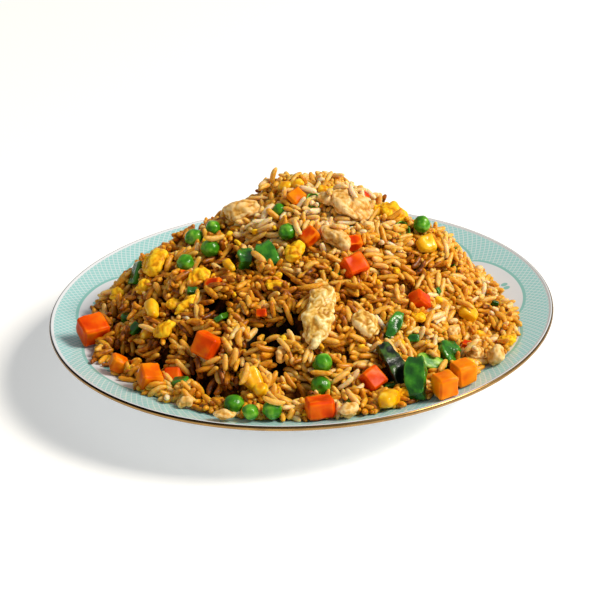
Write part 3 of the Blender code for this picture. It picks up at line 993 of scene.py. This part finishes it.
def points_mesh(places, **attributes):
    """A mesh of loose points, each with its turn, size and tone."""
    mesh = bpy.data.meshes.new("points")
    mesh.from_pydata([tuple(p) for p in places], [], [])
    kinds = {1: ("FLOAT", "value"), 3: ("FLOAT_VECTOR", "vector"), 4: ("QUATERNION", "value")}
    for name, values in attributes.items():
        kind, field = kinds[1 if values.ndim == 1 else values.shape[1]]
        attribute = mesh.attributes.new(name, kind, "POINT")
        attribute.data.foreach_set(field, values.astype(np.float32).ravel())
    return mesh


LUMPS = (("Lump height", "Float"), ("Lump size", "Float"), ("Seed", "Int"))


def tree_with_inputs(name, *inputs):
    """An empty geometry tree, its input node, and its sockets' identifiers by name."""
    tree = bpy.data.node_groups.new(name, "GeometryNodeTree")
    new_socket = tree.interface.new_socket
    identifiers = {}
    for label, kind in (("Points", "Geometry"), *inputs, *LUMPS, ("Finish", "Material")):
        socket = new_socket(name=label, in_out="INPUT", socket_type="NodeSocket" + kind)
        identifiers[label] = socket.identifier
    new_socket(name="Pieces", in_out="OUTPUT", socket_type="NodeSocketGeometry")
    return tree, add_node(tree, "NodeGroupInput"), identifiers


def lay_on_points(tree, given, kinds):
    """Ends a tree: one of the kinds on each point, made real, lumpy and finished."""
    add = functools.partial(add_node, tree)
    each = add("GeometryNodeJoinGeometry")
    for kind in kinds:
        instance = add("GeometryNodeGeometryToInstance", {0: kind})
        tree.links.new(instance.outputs[0], each.inputs[0])
    turn = add("GeometryNodeInputNamedAttribute", {"Name": "turn"}, data_type="QUATERNION")
    size = add("GeometryNodeInputNamedAttribute", {"Name": "size"}, data_type="FLOAT_VECTOR")
    inputs = {"Min": 0, "Max": len(kinds) - 1, "Seed": given.outputs["Seed"]}
    pick = add("FunctionNodeRandomValue", inputs, data_type="INT")
    inputs = {"Points": given.outputs["Points"], "Instance": each, "Pick Instance": True}
    inputs |= {"Instance Index": pick, "Rotation": turn, "Scale": size}
    laid = add("GeometryNodeInstanceOnPoints", inputs)
    real = add("GeometryNodeRealizeInstances", {0: laid})

    # Lumps are raised where the pieces lie, so no two pieces are alike
    often = add("ShaderNodeMath", {0: 1.0, 1: given.outputs["Lump size"]}, operation="DIVIDE")
    lumps = add("ShaderNodeTexNoise", {"Scale": often, "Detail": 1.5})
    centred = add("ShaderNodeMath", {0: lumps, 1: 2.0, 2: -1.0}, operation="MULTIPLY_ADD")
    inputs = {0: centred, 1: given.outputs["Lump height"]}
    rise = add("ShaderNodeMath", inputs, operation="MULTIPLY")
    inputs = {0: add("GeometryNodeInputNormal"), "Scale": rise}
    offset = add("ShaderNodeVectorMath", inputs, operation="SCALE")
    lumpy = add("GeometryNodeSetPosition", {"Geometry": real, "Offset": offset})
    inputs = {"Geometry": lumpy, "Material": given.outputs["Finish"]}
    add("NodeGroupOutput", {0: add("GeometryNodeSetMaterial", inputs)})
    return tree


def bit_tree():
    """Small pieces: blocks, as round or as sharp at the edges as their crispness says."""
    sockets = ("Crispness", "Float"), ("Fineness", "Int")
    tree, given, identifiers = tree_with_inputs("small pieces", *sockets)
    inputs = {"Level": given.outputs["Fineness"], "Edge Crease": given.outputs["Crispness"]}
    inputs["Mesh"] = add_node(tree, "GeometryNodeMeshCube", {"Size": (1.0, 1.0, 1.0)})
    rounded = add_node(tree, "GeometryNodeSubdivisionSurface", inputs)
    return lay_on_points(tree, given, [rounded]), identifiers


def grain_tree():
    """Grains of rice: balls drawn out long, blunt at the ends, in three bends."""
    sizes = [(name, "Float") for name in ("Grain length", "Grain width", "Bend")]
    tree, given, identifiers = tree_with_inputs("grains of rice", *sizes)
    add = functools.partial(add_node, tree)
    ball = add("GeometryNodeMeshUVSphere", {"Segments": 7, "Rings": 7, "Radius": 1.0})
    x, y, along = add("ShaderNodeSeparateXYZ", {0: add("GeometryNodeInputPosition")}).outputs
    half_length, half_width = (
        add("ShaderNodeMath", {0: given.outputs[name], 1: 0.5}, operation="MULTIPLY")
        for name in ("Grain length", "Grain width")
    )
    square = add("ShaderNodeMath", {0: along, 1: along}, operation="MULTIPLY")
    blunt = add("ShaderNodeMath", {0: square, 1: 0.4, 2: 1.0}, operation="MULTIPLY_ADD")
    thick = add("ShaderNodeMath", {0: blunt, 1: half_width}, operation="MULTIPLY")
    length = add("ShaderNodeMath", {0: along, 1: half_length}, operation="MULTIPLY")
    high = add("ShaderNodeMath", {0: y, 1: thick}, operation="MULTIPLY")
    kinds = []
    for share in GRAIN_BENDS:
        inputs = {0: given.outputs["Bend"], 1: -share}
        bend = add("ShaderNodeMath", inputs, operation="MULTIPLY")
        bow = add("ShaderNodeMath", {0: square, 1: bend}, operation="MULTIPLY")
        side = add("ShaderNodeMath", {0: x, 1: thick, 2: bow}, operation="MULTIPLY_ADD")
        moved = add("ShaderNodeCombineXYZ", {"X": length, "Y": side, "Z": high})
        kinds.append(add("GeometryNodeSetPosition", {"Geometry": ball, "Position": moved}))
    return lay_on_points(tree, given, kinds), identifiers


def grown(points, tree, identifiers, **inputs):
    """The mesh that a tree makes on these points. Its inputs are set by identifier."""
    settings = {identifiers[name.replace("_", " ")]: value for name, value in inputs.items()}
    return evaluated(points, ("NODES", {"node_group": tree, **settings}))


RICE_KINDS = ("rice_brown", "rice_amber", "rice_golden", "rice_ivory")  # even shares, by tone
PLAIN_TONE = 0.485  # of a grain with the usual sauce: 0 is the darkest colour, 1 the palest
DARKEST_TONE = 0.12


def grain_sauce_and_painted_shade(form, grains):
    """How much darker or paler each grain is painted for where it lies: the heap's sauce and
    painted light, and painted shade in the gaps and below the heap's skin.
    """
    x, y, z = grains.centre.T
    sunk = np.clip((form.top(x, y) - z) / MM - 1.5, 0, 5)
    return sauce_and_painted_light(x, y) - 0.03 * form.read(form.gaps, x, y) / MM - 0.03 * sunk


def make_rice(form, obstacles, look):
    """The loose grains, as four pieces from the brownest to the palest."""
    grains = Grains(form, look, obstacles)
    grains.settle(look.settling_steps)
    tone = np.maximum(PLAIN_TONE + grains.tone + grain_sauce_and_painted_shade(form, grains), DARKEST_TONE)
    size = np.stack([grains.length / look.grain_length, *[grains.width / look.grain_width] * 2], 1)
    size[:, 2] *= FLATNESS
    turn = turns_to(grains.axis, grains.dice.normal(size=grains.axis.shape))
    finish = cooked_rice()
    tree, identifiers = grain_tree()
    by_tone = np.array_split(np.argsort(tone, kind="stable"), len(RICE_KINDS))
    for name, kept in zip(RICE_KINDS, by_tone):
        points = points_mesh(grains.centre[kept], turn=turn[kept], size=size[kept], tone=tone[kept])
        mesh = grown(
            points,
            tree,
            identifiers,
            Grain_length=look.grain_length,
            Grain_width=look.grain_width,
            Bend=look.grain_bend,
            Lump_height=0.05 * MM,
            Lump_size=2.0 * MM,
            Seed=look.seed,
            Finish=finish,
        )
        new_piece(name, mesh, finish, "rice")


# ---------------------------------------------------------------- toppings

SUNK = 0.35  # how much of a small piece's height lies under the rice
BACK_SPACING = 10.5 * MM  # least distance between the middles of pieces at the back
TOPPING_SLOTS = ("carrot", "pea", "corn", "egg", "chicken", "pepper")


@functools.cache
def heap_form():
    return HeapForm()


def nodes_named(kind):
    return sorted(name for name in frame["nodes"] if name.startswith(kind + "_"))


def own_axes(mesh):
    """A mesh's middle, its long, middle and short directions as rows, and half its sides."""
    places = np.array([v.co for v in mesh.vertices])
    middle = (places.max(0) + places.min(0)) / 2
    spreads, directions = np.linalg.eigh(np.cov((places - middle).T))
    rows = directions.T[np.argsort(-spreads)]
    half = np.abs((places - middle) @ rows.T).max(0)
    return Vector(middle), Matrix(rows.tolist()), half


def carrot_form(node):
    mesh = evaluated(solid_form(node, tightness=0.5), smoothing(4))
    return raised(mesh, lambda p: swell(p, 0.55, 4.5))


def pea_form(node):
    """A plump pea whose skin is a little wrinkled, with a pinch in it."""
    mesh = evaluated(solid_form(node), smoothing(3))
    middle, _, half = own_axes(mesh)
    draw = random.Random(node)
    pinch = middle + Vector([draw.gauss(0, 1) for _ in range(3)]).normalized() * half[0]

    def height(p):
        wrinkle = noise.noise((p - middle) / (2.2 * MM) + middle / MM)
        fold = math.exp(-(((p - pinch).length / (1.4 * MM)) ** 2))
        return 0.3 * MM * wrinkle - 0.6 * MM * fold

    return raised(mesh, height)


def corn_form(node):
    mesh = evaluated(solid_form(node, tightness=0.15), smoothing(4))
    middle, _, half = own_axes(mesh)
    crown = middle + Vector((0.2, -0.5, 0.8)).normalized() * half[1]

    def height(p):
        dent = math.exp(-(((p - crown).length / (1.8 * MM)) ** 2))
        return swell(p, 0.25, 2.6) - 0.6 * MM * dent

    return raised(mesh, height)


def torn_form(node, height):
    """A torn piece: its solid made smooth and even, then given its folds."""
    even = ("REMESH", {"mode": "VOXEL", "voxel_size": 0.42 * MM})
    return raised(evaluated(solid_form(node), smoothing(2), even), height)


def swell(place, height, size):
    """Rounded lumps, of a height and a size in mm."""
    return height * MM * noise.noise(place / (size * MM))


def crumpled(place, size):
    """Folds about size metres across: sharp creases between rounded swells."""
    place = place + noise.noise_vector(place / (2.2 * size)) * 0.9 * size
    return abs(noise.noise(place / size)) - 0.22


def egg_form(node):
    """Scrambled egg: soft folds and small curds."""

    def height(p):
        shape = swell(p, 1.8, 7) + 1.3 * MM * crumpled(p, 6 * MM)
        return shape + 0.8 * MM * crumpled(p, 2.4 * MM) + swell(p, 0.2, 1)

    return torn_form(node, height)


def chicken_form(node):
    """Torn meat: its fibres lie along the piece, and thin pieces have shallower folds."""
    middle, axes, half = own_axes(solid_form(node))
    thickness = min(1.0, min(half) / (5 * MM))

    def height(p):
        along, across, through = axes @ (p - middle)
        fibre = Vector((along / 5, across, through))
        shape = swell(p, 1.9, 6) + 1.5 * MM * crumpled(p, 5 * MM)
        torn = 0.9 * MM * crumpled(fibre, 1.8 * MM)
        return thickness * (shape + torn) + swell(p, 0.25, 1.3)

    return torn_form(node, height)


def pepper_form(node):
    """A slip of pepper: smooth waxy skin with rounded cut edges."""
    cut = ("BEVEL", {"width": 0.35 * MM, "segments": 2, "limit_method": "ANGLE"})
    mesh = evaluated(solid_form(node), cut, smoothing(2))
    return raised(mesh, lambda p: swell(p, 0.9, 3.6) + swell(p, 0.2, 1))


def make_toppings(kind, piece, form_of, finish, others=()):
    """One piece for each solid of a kind. Those named in others have finishes of their own."""
    for node in nodes_named(kind):
        mesh = marked_for_painted_shading(form_of(node))
        new_piece(f"{piece}_{node[-2:]}", mesh, dict(others).get(node, finish), kind, node)


# ---------------------------------------------------------------- small pieces

PALE_EGG = ("egg_02", "egg_05")
RED_CARROTS = tuple(f"carrot_{number:02d}" for number in (1, 4, 5, 6, 7, 10, 11))

# Small pieces on the side of the camera: x, y, length, width and height in mm, and the
# direction of the length in degrees
CARROT_BITS = (
    (-45, -20, 5.5, 4.5, 4.5, 20),
    (-33, -29, 6.5, 5.0, 5.0, -15),
    (5, -13, 7.0, 6.0, 4.5, 30),
    (21, -15, 8.0, 5.0, 4.5, 10),
    (27, 11, 4.5, 3.5, 3.0, 0),
    (-74, -38, 3.5, 3.0, 3.0, 40),
    (63, -46, 4.0, 3.0, 3.0, 70),
    (-15, -48, 4.0, 3.0, 2.5, 0),
)
CORN_BITS = (
    (-60, -37, 6.0, 4.5, 4.0, 10),
    (-4, 12, 6.0, 4.5, 4.0, 0),
    (1, 12, 6.0, 4.5, 5.0, 30),
    (62, -62, 5.5, 4.5, 4.0, 0),
    (-16, -79, 6.0, 5.5, 5.0, 20),
    (11, 8, 5.0, 3.5, 3.5, 0),
)
GREEN_BITS = (
    (-69, -18, 5.5, 4.5, 3.0, 0),
    (-65, -30, 5.5, 4.0, 3.0, 30),
    (-46, -66, 6.5, 4.5, 3.5, -20),
    (-66, 2, 10.0, 6.0, 2.5, 40),
    (-30, -46, 9.0, 4.0, 2.5, 85),
    (-42, -30, 4.0, 3.0, 2.5, 0),
    (62, -7, 3.0, 2.5, 2.0, 0),
    (79, -6, 3.0, 2.5, 2.0, 0),
    (17, -88, 5.0, 3.5, 3.0, 30),
    (32, -75, 5.5, 4.0, 3.0, 10),
    (31, 9, 4.0, 3.0, 2.0, 0),
    (42, -53, 4.5, 3.0, 2.5, 0),
    (-58, -55, 4.5, 3.0, 2.5, 60),
    (14, -32, 3.5, 2.5, 2.0, 0),
    (54, -24, 3.5, 2.5, 2.0, 50),
)
EGG_BITS = (
    (-74, -1, 7.0, 6.0, 5.0, 0),
    (-62, -12, 8.0, 6.0, 5.0, 15),
    (-39, -23, 10.0, 8.0, 5.0, 0),
    (80, -41, 8.0, 5.5, 4.5, 30),
    (2, -93, 8.0, 5.0, 4.0, 0),
    (33, 5, 8.0, 6.0, 5.0, 20),
    (-10, -36, 8.0, 5.0, 4.0, -30),
    (45, -44, 7.0, 5.0, 4.0, 40),
    (70, -35, 7.0, 5.0, 4.0, 0),
    (-50, -29, 6.0, 5.0, 4.0, 0),
    (36, -83, 6.0, 5.0, 4.0, 0),
)
CHICKEN_BITS = (
    (-44, -79, 7.0, 4.5, 4.0, 0),
    (12, 3, 9.0, 6.0, 5.0, -20),
    (28, -6, 8.0, 5.0, 4.5, -50),
    (58, -42, 7.0, 5.0, 4.5, 30),
    (-8, -66, 7.0, 4.5, 4.0, 60),
)
ONION_RINGS = ((7.0, 3.0), (42.0, -3.0), (-20.0, 32.0), (30.0, 40.0))
BACK_SHARES = {"carrot": 8, "pea": 8, "corn": 5, "egg": 6, "pepper": 5, "chicken": 4}


def behind(x, y):
    """Whether the heap stands between a place on it and someone seated at the front."""
    form, steps = heap_form(), np.arange(4, 90, 2) * MM
    sight = float(form.top(x, y)) + 4 * MM + steps * math.tan(math.radians(25))
    return (form.top(np.full(len(steps), x), y - steps) > sight).any()


@functools.cache
def back_places():
    """Open places on the far side of the heap, in plan, well apart from each other."""
    dice = np.random.default_rng(3)
    boxes = [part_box(node) for kind in TOPPING_SLOTS for node in nodes_named(kind)]
    taken = [((low + high) / 2).xy for low, high in boxes]
    found = []
    for x, y in heap_form().scattered(4000, dice):
        place = Vector((x, y))
        apart = min((place - other).length for other in taken)
        if apart > BACK_SPACING and behind(x, y):
            taken.append(place)
            found.append(place)
    return found


def back_rows(kind, least, greatest):
    """Rows for the pieces of a kind at the back, with sides between two sizes in mm."""
    kinds = list(BACK_SHARES)
    start = sum(BACK_SHARES[other] for other in kinds[: kinds.index(kind)])
    draw = random.Random(kind)
    rows = []
    for place in back_places()[start : start + BACK_SHARES[kind]]:
        sides = [draw.uniform(low, high) for low, high in zip(least, greatest)]
        rows.append((*(place / MM), *sides, draw.uniform(-90, 90)))
    return tuple(rows)


def laid(rows):
    """Where small pieces lie on the rice: their middles, turns and sizes."""
    form = heap_form()
    x, y, length, width, height, turn = np.array(rows).T
    x, y, turn = x * MM, y * MM, np.radians(turn)
    out = form.normals(x, y)
    skin = np.column_stack([x, y, form.top(x, y)])
    sunk = SUNK * form.read(form.covered, x, y)
    middles = skin + out * ((0.5 - sunk) * height * MM)[:, None]
    ahead = np.column_stack([np.cos(turn), np.sin(turn), 0 * turn])
    ahead = unit(ahead - (ahead * out).sum(1, keepdims=True) * out)
    return middles, turns_to(ahead, out), np.column_stack([length, width, height]) * MM


def make_bits(name, kind, rows, finish, crispness, lump_height, lump_size, fineness=3):
    """Small pieces of a kind, as one mesh."""
    middles, turn, size = laid(rows)
    tree, identifiers = bit_tree()
    mesh = grown(
        points_mesh(middles, turn=turn, size=size),
        tree,
        identifiers,
        Crispness=crispness,
        Fineness=fineness,
        Lump_height=lump_height,
        Lump_size=lump_size,
        Seed=1,
        Finish=finish,
    )
    new_piece(name, marked_for_painted_shading(mesh), finish, kind)


def make_onion_rings():
    """Thin rings cut across a spring onion, lying on the rice at their own tilts."""
    draw = random.Random(5)
    whole = bmesh.new()
    form = heap_form()
    for x, y in ONION_RINGS:
        radius, wall, depth = draw.uniform(2.6, 3.3) * MM, 0.8 * MM, 1.6 * MM
        half_wall, half_depth = wall / 2, depth / 2
        section = [
            (radius + half_wall * math.cos(t), half_depth * math.sin(t))
            for t in np.linspace(0, 2 * math.pi, 12, endpoint=False)
        ]
        ring = turned(section, segments=32, closed=True)
        place = Vector((x * MM, y * MM, float(form.top(x * MM, y * MM)) + 0.5 * MM))
        out = Vector(form.normals(x * MM, y * MM)) + Vector((0.3, -0.5, 0)) * draw.uniform(0.4, 1)
        pose = Matrix.Translation(place) @ out.to_track_quat("Z", "X").to_matrix().to_4x4()
        ring.transform(pose @ Matrix.Diagonal((1, draw.uniform(0.75, 0.95), 1, 1)))
        whole.from_mesh(ring)
    mesh = marked_for_painted_shading(mesh_of(whole))
    new_piece("spring_onion_rings", mesh, food("spring onion"), "pepper")


def topping_tree():
    """Everything that lies in the rice so far, for the grains to keep clear of."""
    places, faces = [], []
    for made in bpy.context.scene.objects:
        if made.type != "MESH" or made.get("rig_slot") not in TOPPING_SLOTS:
            continue
        start = len(places)
        places += [v.co.copy() for v in made.data.vertices]
        faces += [tuple(start + v for v in p.vertices) for p in made.data.polygons]
    spread = np.array(places)
    return BVHTree.FromPolygons(places, faces), spread.min(0), spread.max(0)


def make_crumbs(look):
    """Crumbs of egg and meat that broke off in the pan and cling to the rice."""
    dice = np.random.default_rng(look.seed + 1)
    for name, count, finish, sides in (
        ("egg_crumbs", look.crumb_count, food("fried beaten egg"), (2.0, 4.2)),
        ("chicken_crumbs", look.crumb_count // 4, food("fried chicken breast"), (2.5, 5.0)),
    ):
        rows = []
        for x, y in heap_form().scattered(count, dice) / MM:
            size = dice.uniform(*sides)
            shape = dice.uniform(0.55, 1.0, 2) * size
            rows.append((x, y, size, *shape, dice.uniform(0, 360)))
        make_bits(name, name.split("_")[0], rows, finish, 0.0, 0.8 * MM, 1.6 * MM, fineness=2)


# ---------------------------------------------------------------- settings

def length_property(name, description, size):
    """A length that a user can change, given in mm."""
    return FloatProperty(
        name=name,
        description=description,
        default=size * MM,
        unit="LENGTH",
        subtype="DISTANCE",
        precision=4,
    )


def colour_property(name, description, hex_colour):
    """A colour that a user can change, given as sRGB hex."""
    return FloatVectorProperty(
        name=name,
        description=description,
        default=linear(hex_colour),
        subtype="COLOR",
        min=0,
        max=1,
    )


def count_property(name, description, count):
    return IntProperty(name=name, description=description, default=count, min=1)


class PlateLook(bpy.types.PropertyGroup):
    scallop_reach: length_property("Scallop reach", "Radius of the scallops at their widest", 93.0)
    scallop_cusp: length_property("Scallop cusp", "Radius of the scallops between lobes", 85.0)
    border_width: length_property("Border width", "Width of the scalloped line", 1.5)
    lattice_pitch: length_property("Lattice pitch", "Between two open lines of the lattice", 1.9)
    blossom_radius: length_property("Blossom place", "From the plate's axis to a blossom", 84.5)
    blossom_size: length_property("Blossom size", "Distance across a blossom's petals", 9.5)
    petals: count_property("Petals", "Petals of a blossom", 6)
    glaze_colour: colour_property("Glaze", "The porcelain's white", "e2e7ea")
    glaze_shade: colour_property("Glaze shade", "The porcelain's greyer patches", "d6dbe2")
    pattern_colour: colour_property("Lattice", "The teal of the lattice", "9acfce")
    border_colour: colour_property("Border", "The teal of the line and blossoms", "86c0ba")
    gilding_colour: colour_property("Gilding", "The gold of the edge", "c09a5c")
    gilding_shade: colour_property("Worn gilding", "The gold where it is thin", "7c5c3a")


class RiceLook(bpy.types.PropertyGroup):
    grain_count: count_property("Grains", "Loose grains on the heap", 6300)
    stray_count: count_property("Strays", "Grains that lie on the toppings", 24)
    crumb_count: count_property("Crumbs", "Crumbs of egg that cling to the rice", 120)
    clump_count: count_property("Clumps", "Clumps that the grains cling together in", 430)
    clump_relief: length_property("Clump relief", "How far clumps stand out and sink in", 1.2)
    grain_length: length_property("Grain length", "Usual length of a cooked grain", 7.9)
    grain_width: length_property("Grain width", "Usual thickness of a cooked grain", 2.38)
    grain_bend: length_property("Grain bend", "How far the most bent grains bow sideways", 0.9)
    core_depth: length_property("Core depth", "Depth of the loose grains over the core", 4.6)
    settling_steps: count_property("Settling", "Rounds in which the grains are pushed apart", 40)
    seed: count_property("Seed", "Starts the random draws", 7)


class StageLook(bpy.types.PropertyGroup):
    floor_colour: colour_property("Floor", "The plain floor", "f2f2f0")
    floor_glow: FloatProperty(
        name="Floor glow", description="How strongly the floor is lit from below", default=0.30
    )
    key_power: FloatProperty(
        name="Key light", description="Strength of the light from the right",
        default=106.0, unit="POWER",
    )
    fill_strength: FloatProperty(
        name="Fill light", description="Strength of the even light all round", default=0.33
    )


# ---------------------------------------------------------------- operators


class FRIEDRICE_OT_plate(bpy.types.Operator):
    """Makes the porcelain plate and its gilded edge"""

    bl_idname = "friedrice.plate"
    bl_label = "Plate"

    def execute(self, context):
        make_plate(context.scene.plate_look)
        return {"FINISHED"}


class FRIEDRICE_OT_carrots(bpy.types.Operator):
    """Makes the carrot dice and the smaller bits of carrot"""

    bl_idname = "friedrice.carrots"
    bl_label = "Carrots"

    def execute(self, context):
        flesh, heart = food("boiled carrot flesh"), food("boiled carrot heart")
        others = dict.fromkeys(RED_CARROTS, flesh)
        make_toppings("carrot", "carrot_dice", carrot_form, heart, others)
        make_bits("carrot_bits", "carrot", CARROT_BITS, flesh, 0.6, 0.5 * MM, 3 * MM)
        rows = back_rows("carrot", (8, 7, 6), (11, 9, 8))
        make_bits("far_carrots", "carrot", rows, heart, 0.6, 0.5 * MM, 3 * MM)
        return {"FINISHED"}


class FRIEDRICE_OT_peas(bpy.types.Operator):
    """Makes the peas"""

    bl_idname = "friedrice.peas"
    bl_label = "Peas"

    def execute(self, context):
        finish = food("boiled green pea")
        make_toppings("pea", "green_pea", pea_form, finish)
        rows = back_rows("pea", (8.6, 8.4, 8.2), (9.6, 9.2, 9.0))
        make_bits("far_peas", "pea", rows, finish, 0.0, 0.3 * MM, 3 * MM)
        return {"FINISHED"}


class FRIEDRICE_OT_corn(bpy.types.Operator):
    """Makes the kernels of sweetcorn and their bits"""

    bl_idname = "friedrice.corn"
    bl_label = "Sweetcorn"

    def execute(self, context):
        finish = food("boiled sweetcorn")
        make_toppings("corn", "corn_kernel", corn_form, finish)
        rows = CORN_BITS + back_rows("corn", (9, 8, 6), (11, 10, 7))
        make_bits("corn_bits", "corn", rows, finish, 0.2, 0.7 * MM, 3 * MM)
        return {"FINISHED"}


class FRIEDRICE_OT_egg(bpy.types.Operator):
    """Makes the scraps of fried egg"""

    bl_idname = "friedrice.egg"
    bl_label = "Egg"

    def execute(self, context):
        finish = food("fried beaten egg")
        others = dict.fromkeys(PALE_EGG, food("fried egg white"))
        make_toppings("egg", "egg_scrap", egg_form, finish, others)
        rows = EGG_BITS + back_rows("egg", (10, 8, 5), (16, 11, 7))
        make_bits("egg_bits", "egg", rows, finish, 0.1, 1.8 * MM, 3.2 * MM, fineness=4)
        return {"FINISHED"}


class FRIEDRICE_OT_chicken(bpy.types.Operator):
    """Makes the shreds of chicken"""

    bl_idname = "friedrice.chicken"
    bl_label = "Chicken"

    def execute(self, context):
        finish = food("fried chicken breast")
        make_toppings("chicken", "chicken_shred", chicken_form, finish)
        rows = CHICKEN_BITS + back_rows("chicken", (12, 8, 6), (18, 11, 8))
        make_bits("chicken_bits", "chicken", rows, finish, 0.1, 1.6 * MM, 2.8 * MM, fineness=4)
        return {"FINISHED"}


class FRIEDRICE_OT_greens(bpy.types.Operator):
    """Makes the slips of green pepper, their bits and the rings of spring onion"""

    bl_idname = "friedrice.greens"
    bl_label = "Greens"

    def execute(self, context):
        finish = food("green pepper skin")
        # pepper_04 lies in shade and gets a near-black finish as painted shade
        others = {"pepper_04": food("green pepper in painted shade"), "pepper_06": food("spring onion")}
        make_toppings("pepper", "pepper_slip", pepper_form, finish, others)
        rows = GREEN_BITS + back_rows("pepper", (9, 5, 3), (14, 8, 4))
        make_bits("green_slivers", "pepper", rows, finish, 0.4, 0.6 * MM, 4 * MM)
        make_onion_rings()
        return {"FINISHED"}


class FRIEDRICE_OT_rice(bpy.types.Operator):
    """Makes the core of the heap, the loose grains over it and the crumbs among them"""

    bl_idname = "friedrice.rice"
    bl_label = "Rice"

    def execute(self, context):
        make_core(heap_form(), context.scene.rice_look)
        make_rice(heap_form(), topping_tree(), context.scene.rice_look)
        make_crumbs(context.scene.rice_look)
        return {"FINISHED"}


KEY_PLACE = Vector((2.07, -0.60, 2.08))  # metres: high on the right, a little in front
# The camera's angle above the table, its roll, and its distance in metres
CAMERA_HEIGHT, CAMERA_ROLL, CAMERA_DISTANCE = math.radians(25.46), math.radians(2.63), 0.70


def look_along(place, aim, roll=0.0):
    """A pose that looks from a place towards an aim, with the top of the view rolled."""
    ahead = (aim - place).normalized()
    side = ahead.cross(Vector((0, 0, 1))).normalized()
    up = side.cross(ahead)
    rolled_side = side * math.cos(roll) - up * math.sin(roll)
    rolled_up = side * math.sin(roll) + up * math.cos(roll)
    pose = Matrix((rolled_side, rolled_up, -ahead)).transposed().to_4x4()
    pose.translation = place
    return pose


def area_light(name, place, aim, size, power, colour):
    light = bpy.data.lights.new(name, "AREA")
    light.size, light.energy, light.color = size, power, linear(colour)
    in_scene(name, light).matrix_world = look_along(place, aim)


class FRIEDRICE_OT_stage(bpy.types.Operator):
    """Makes the floor, the studio light and the camera"""

    bl_idname = "friedrice.stage"
    bl_label = "Stage"

    def execute(self, context):
        scene, look = context.scene, context.scene.stage_look
        shape = bmesh.new()
        bmesh.ops.create_grid(shape, x_segments=1, y_segments=1, size=3.0)
        paint = rgba(look.floor_colour)
        glow = {"Emission_Color": paint, "Emission_Strength": look.floor_glow}
        acrylic, _, _ = surface("lit white acrylic", Roughness=0.6, Base_Color=paint, **glow)
        floor = in_scene("floor", mesh_of(shape))
        floor.data.materials.append(acrylic)

        area_light("key", KEY_PLACE, Vector((0, 0, PLATE_HEIGHT)), 1.0, look.key_power, "fff7ec")
        world = bpy.data.worlds.new("studio")
        world.use_nodes = True
        sky = world.node_tree.nodes["Background"]
        sky.inputs["Color"].default_value = rgba(linear("f6f8fa"))
        sky.inputs["Strength"].default_value = look.fill_strength
        scene.world = world
        scene.view_settings.view_transform = "Standard"

        camera = bpy.data.cameras.new("camera")
        camera.lens, camera.sensor_width, camera.clip_start = 102.6, 36.0, 0.05
        scene.camera = in_scene("camera", camera)
        aim = Vector((-0.0002, 0, PLATE_HEIGHT + 1.1 * MM))
        away = Vector((0, -math.cos(CAMERA_HEIGHT), math.sin(CAMERA_HEIGHT)))
        place = aim + away * CAMERA_DISTANCE
        scene.camera.matrix_world = look_along(place, aim, CAMERA_ROLL)
        return {"FINISHED"}


OPERATORS = (
    FRIEDRICE_OT_plate,
    FRIEDRICE_OT_carrots,
    FRIEDRICE_OT_peas,
    FRIEDRICE_OT_corn,
    FRIEDRICE_OT_egg,
    FRIEDRICE_OT_chicken,
    FRIEDRICE_OT_greens,
    FRIEDRICE_OT_rice,
    FRIEDRICE_OT_stage,
)
LOOKS = {"plate_look": PlateLook, "rice_look": RiceLook, "stage_look": StageLook}


class FRIEDRICE_PT_panel(bpy.types.Panel):
    """Lists the looks and the operators"""

    bl_label = "Fried rice"
    bl_idname = "FRIEDRICE_PT_panel"
    bl_space_type = "VIEW_3D"
    bl_region_type = "UI"
    bl_category = "Fried rice"

    def draw(self, context):
        for name, look in LOOKS.items():
            box = self.layout.box()
            for setting in look.__annotations__:
                box.prop(getattr(context.scene, name), setting)
        for operator in OPERATORS:
            self.layout.operator(operator.bl_idname)


def register():
    for made in (*LOOKS.values(), *OPERATORS, FRIEDRICE_PT_panel):
        bpy.utils.register_class(made)
    for name, look in LOOKS.items():
        setattr(bpy.types.Scene, name, PointerProperty(type=look))


def unregister():
    for name in LOOKS:
        delattr(bpy.types.Scene, name)
    for made in (FRIEDRICE_PT_panel, *reversed(OPERATORS), *LOOKS.values()):
        bpy.utils.unregister_class(made)


def main():
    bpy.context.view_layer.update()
    register()
    for operator in OPERATORS:
        group, name = operator.bl_idname.split(".")
        getattr(getattr(bpy.ops, group), name)()


if __name__ == "__main__":
    main()
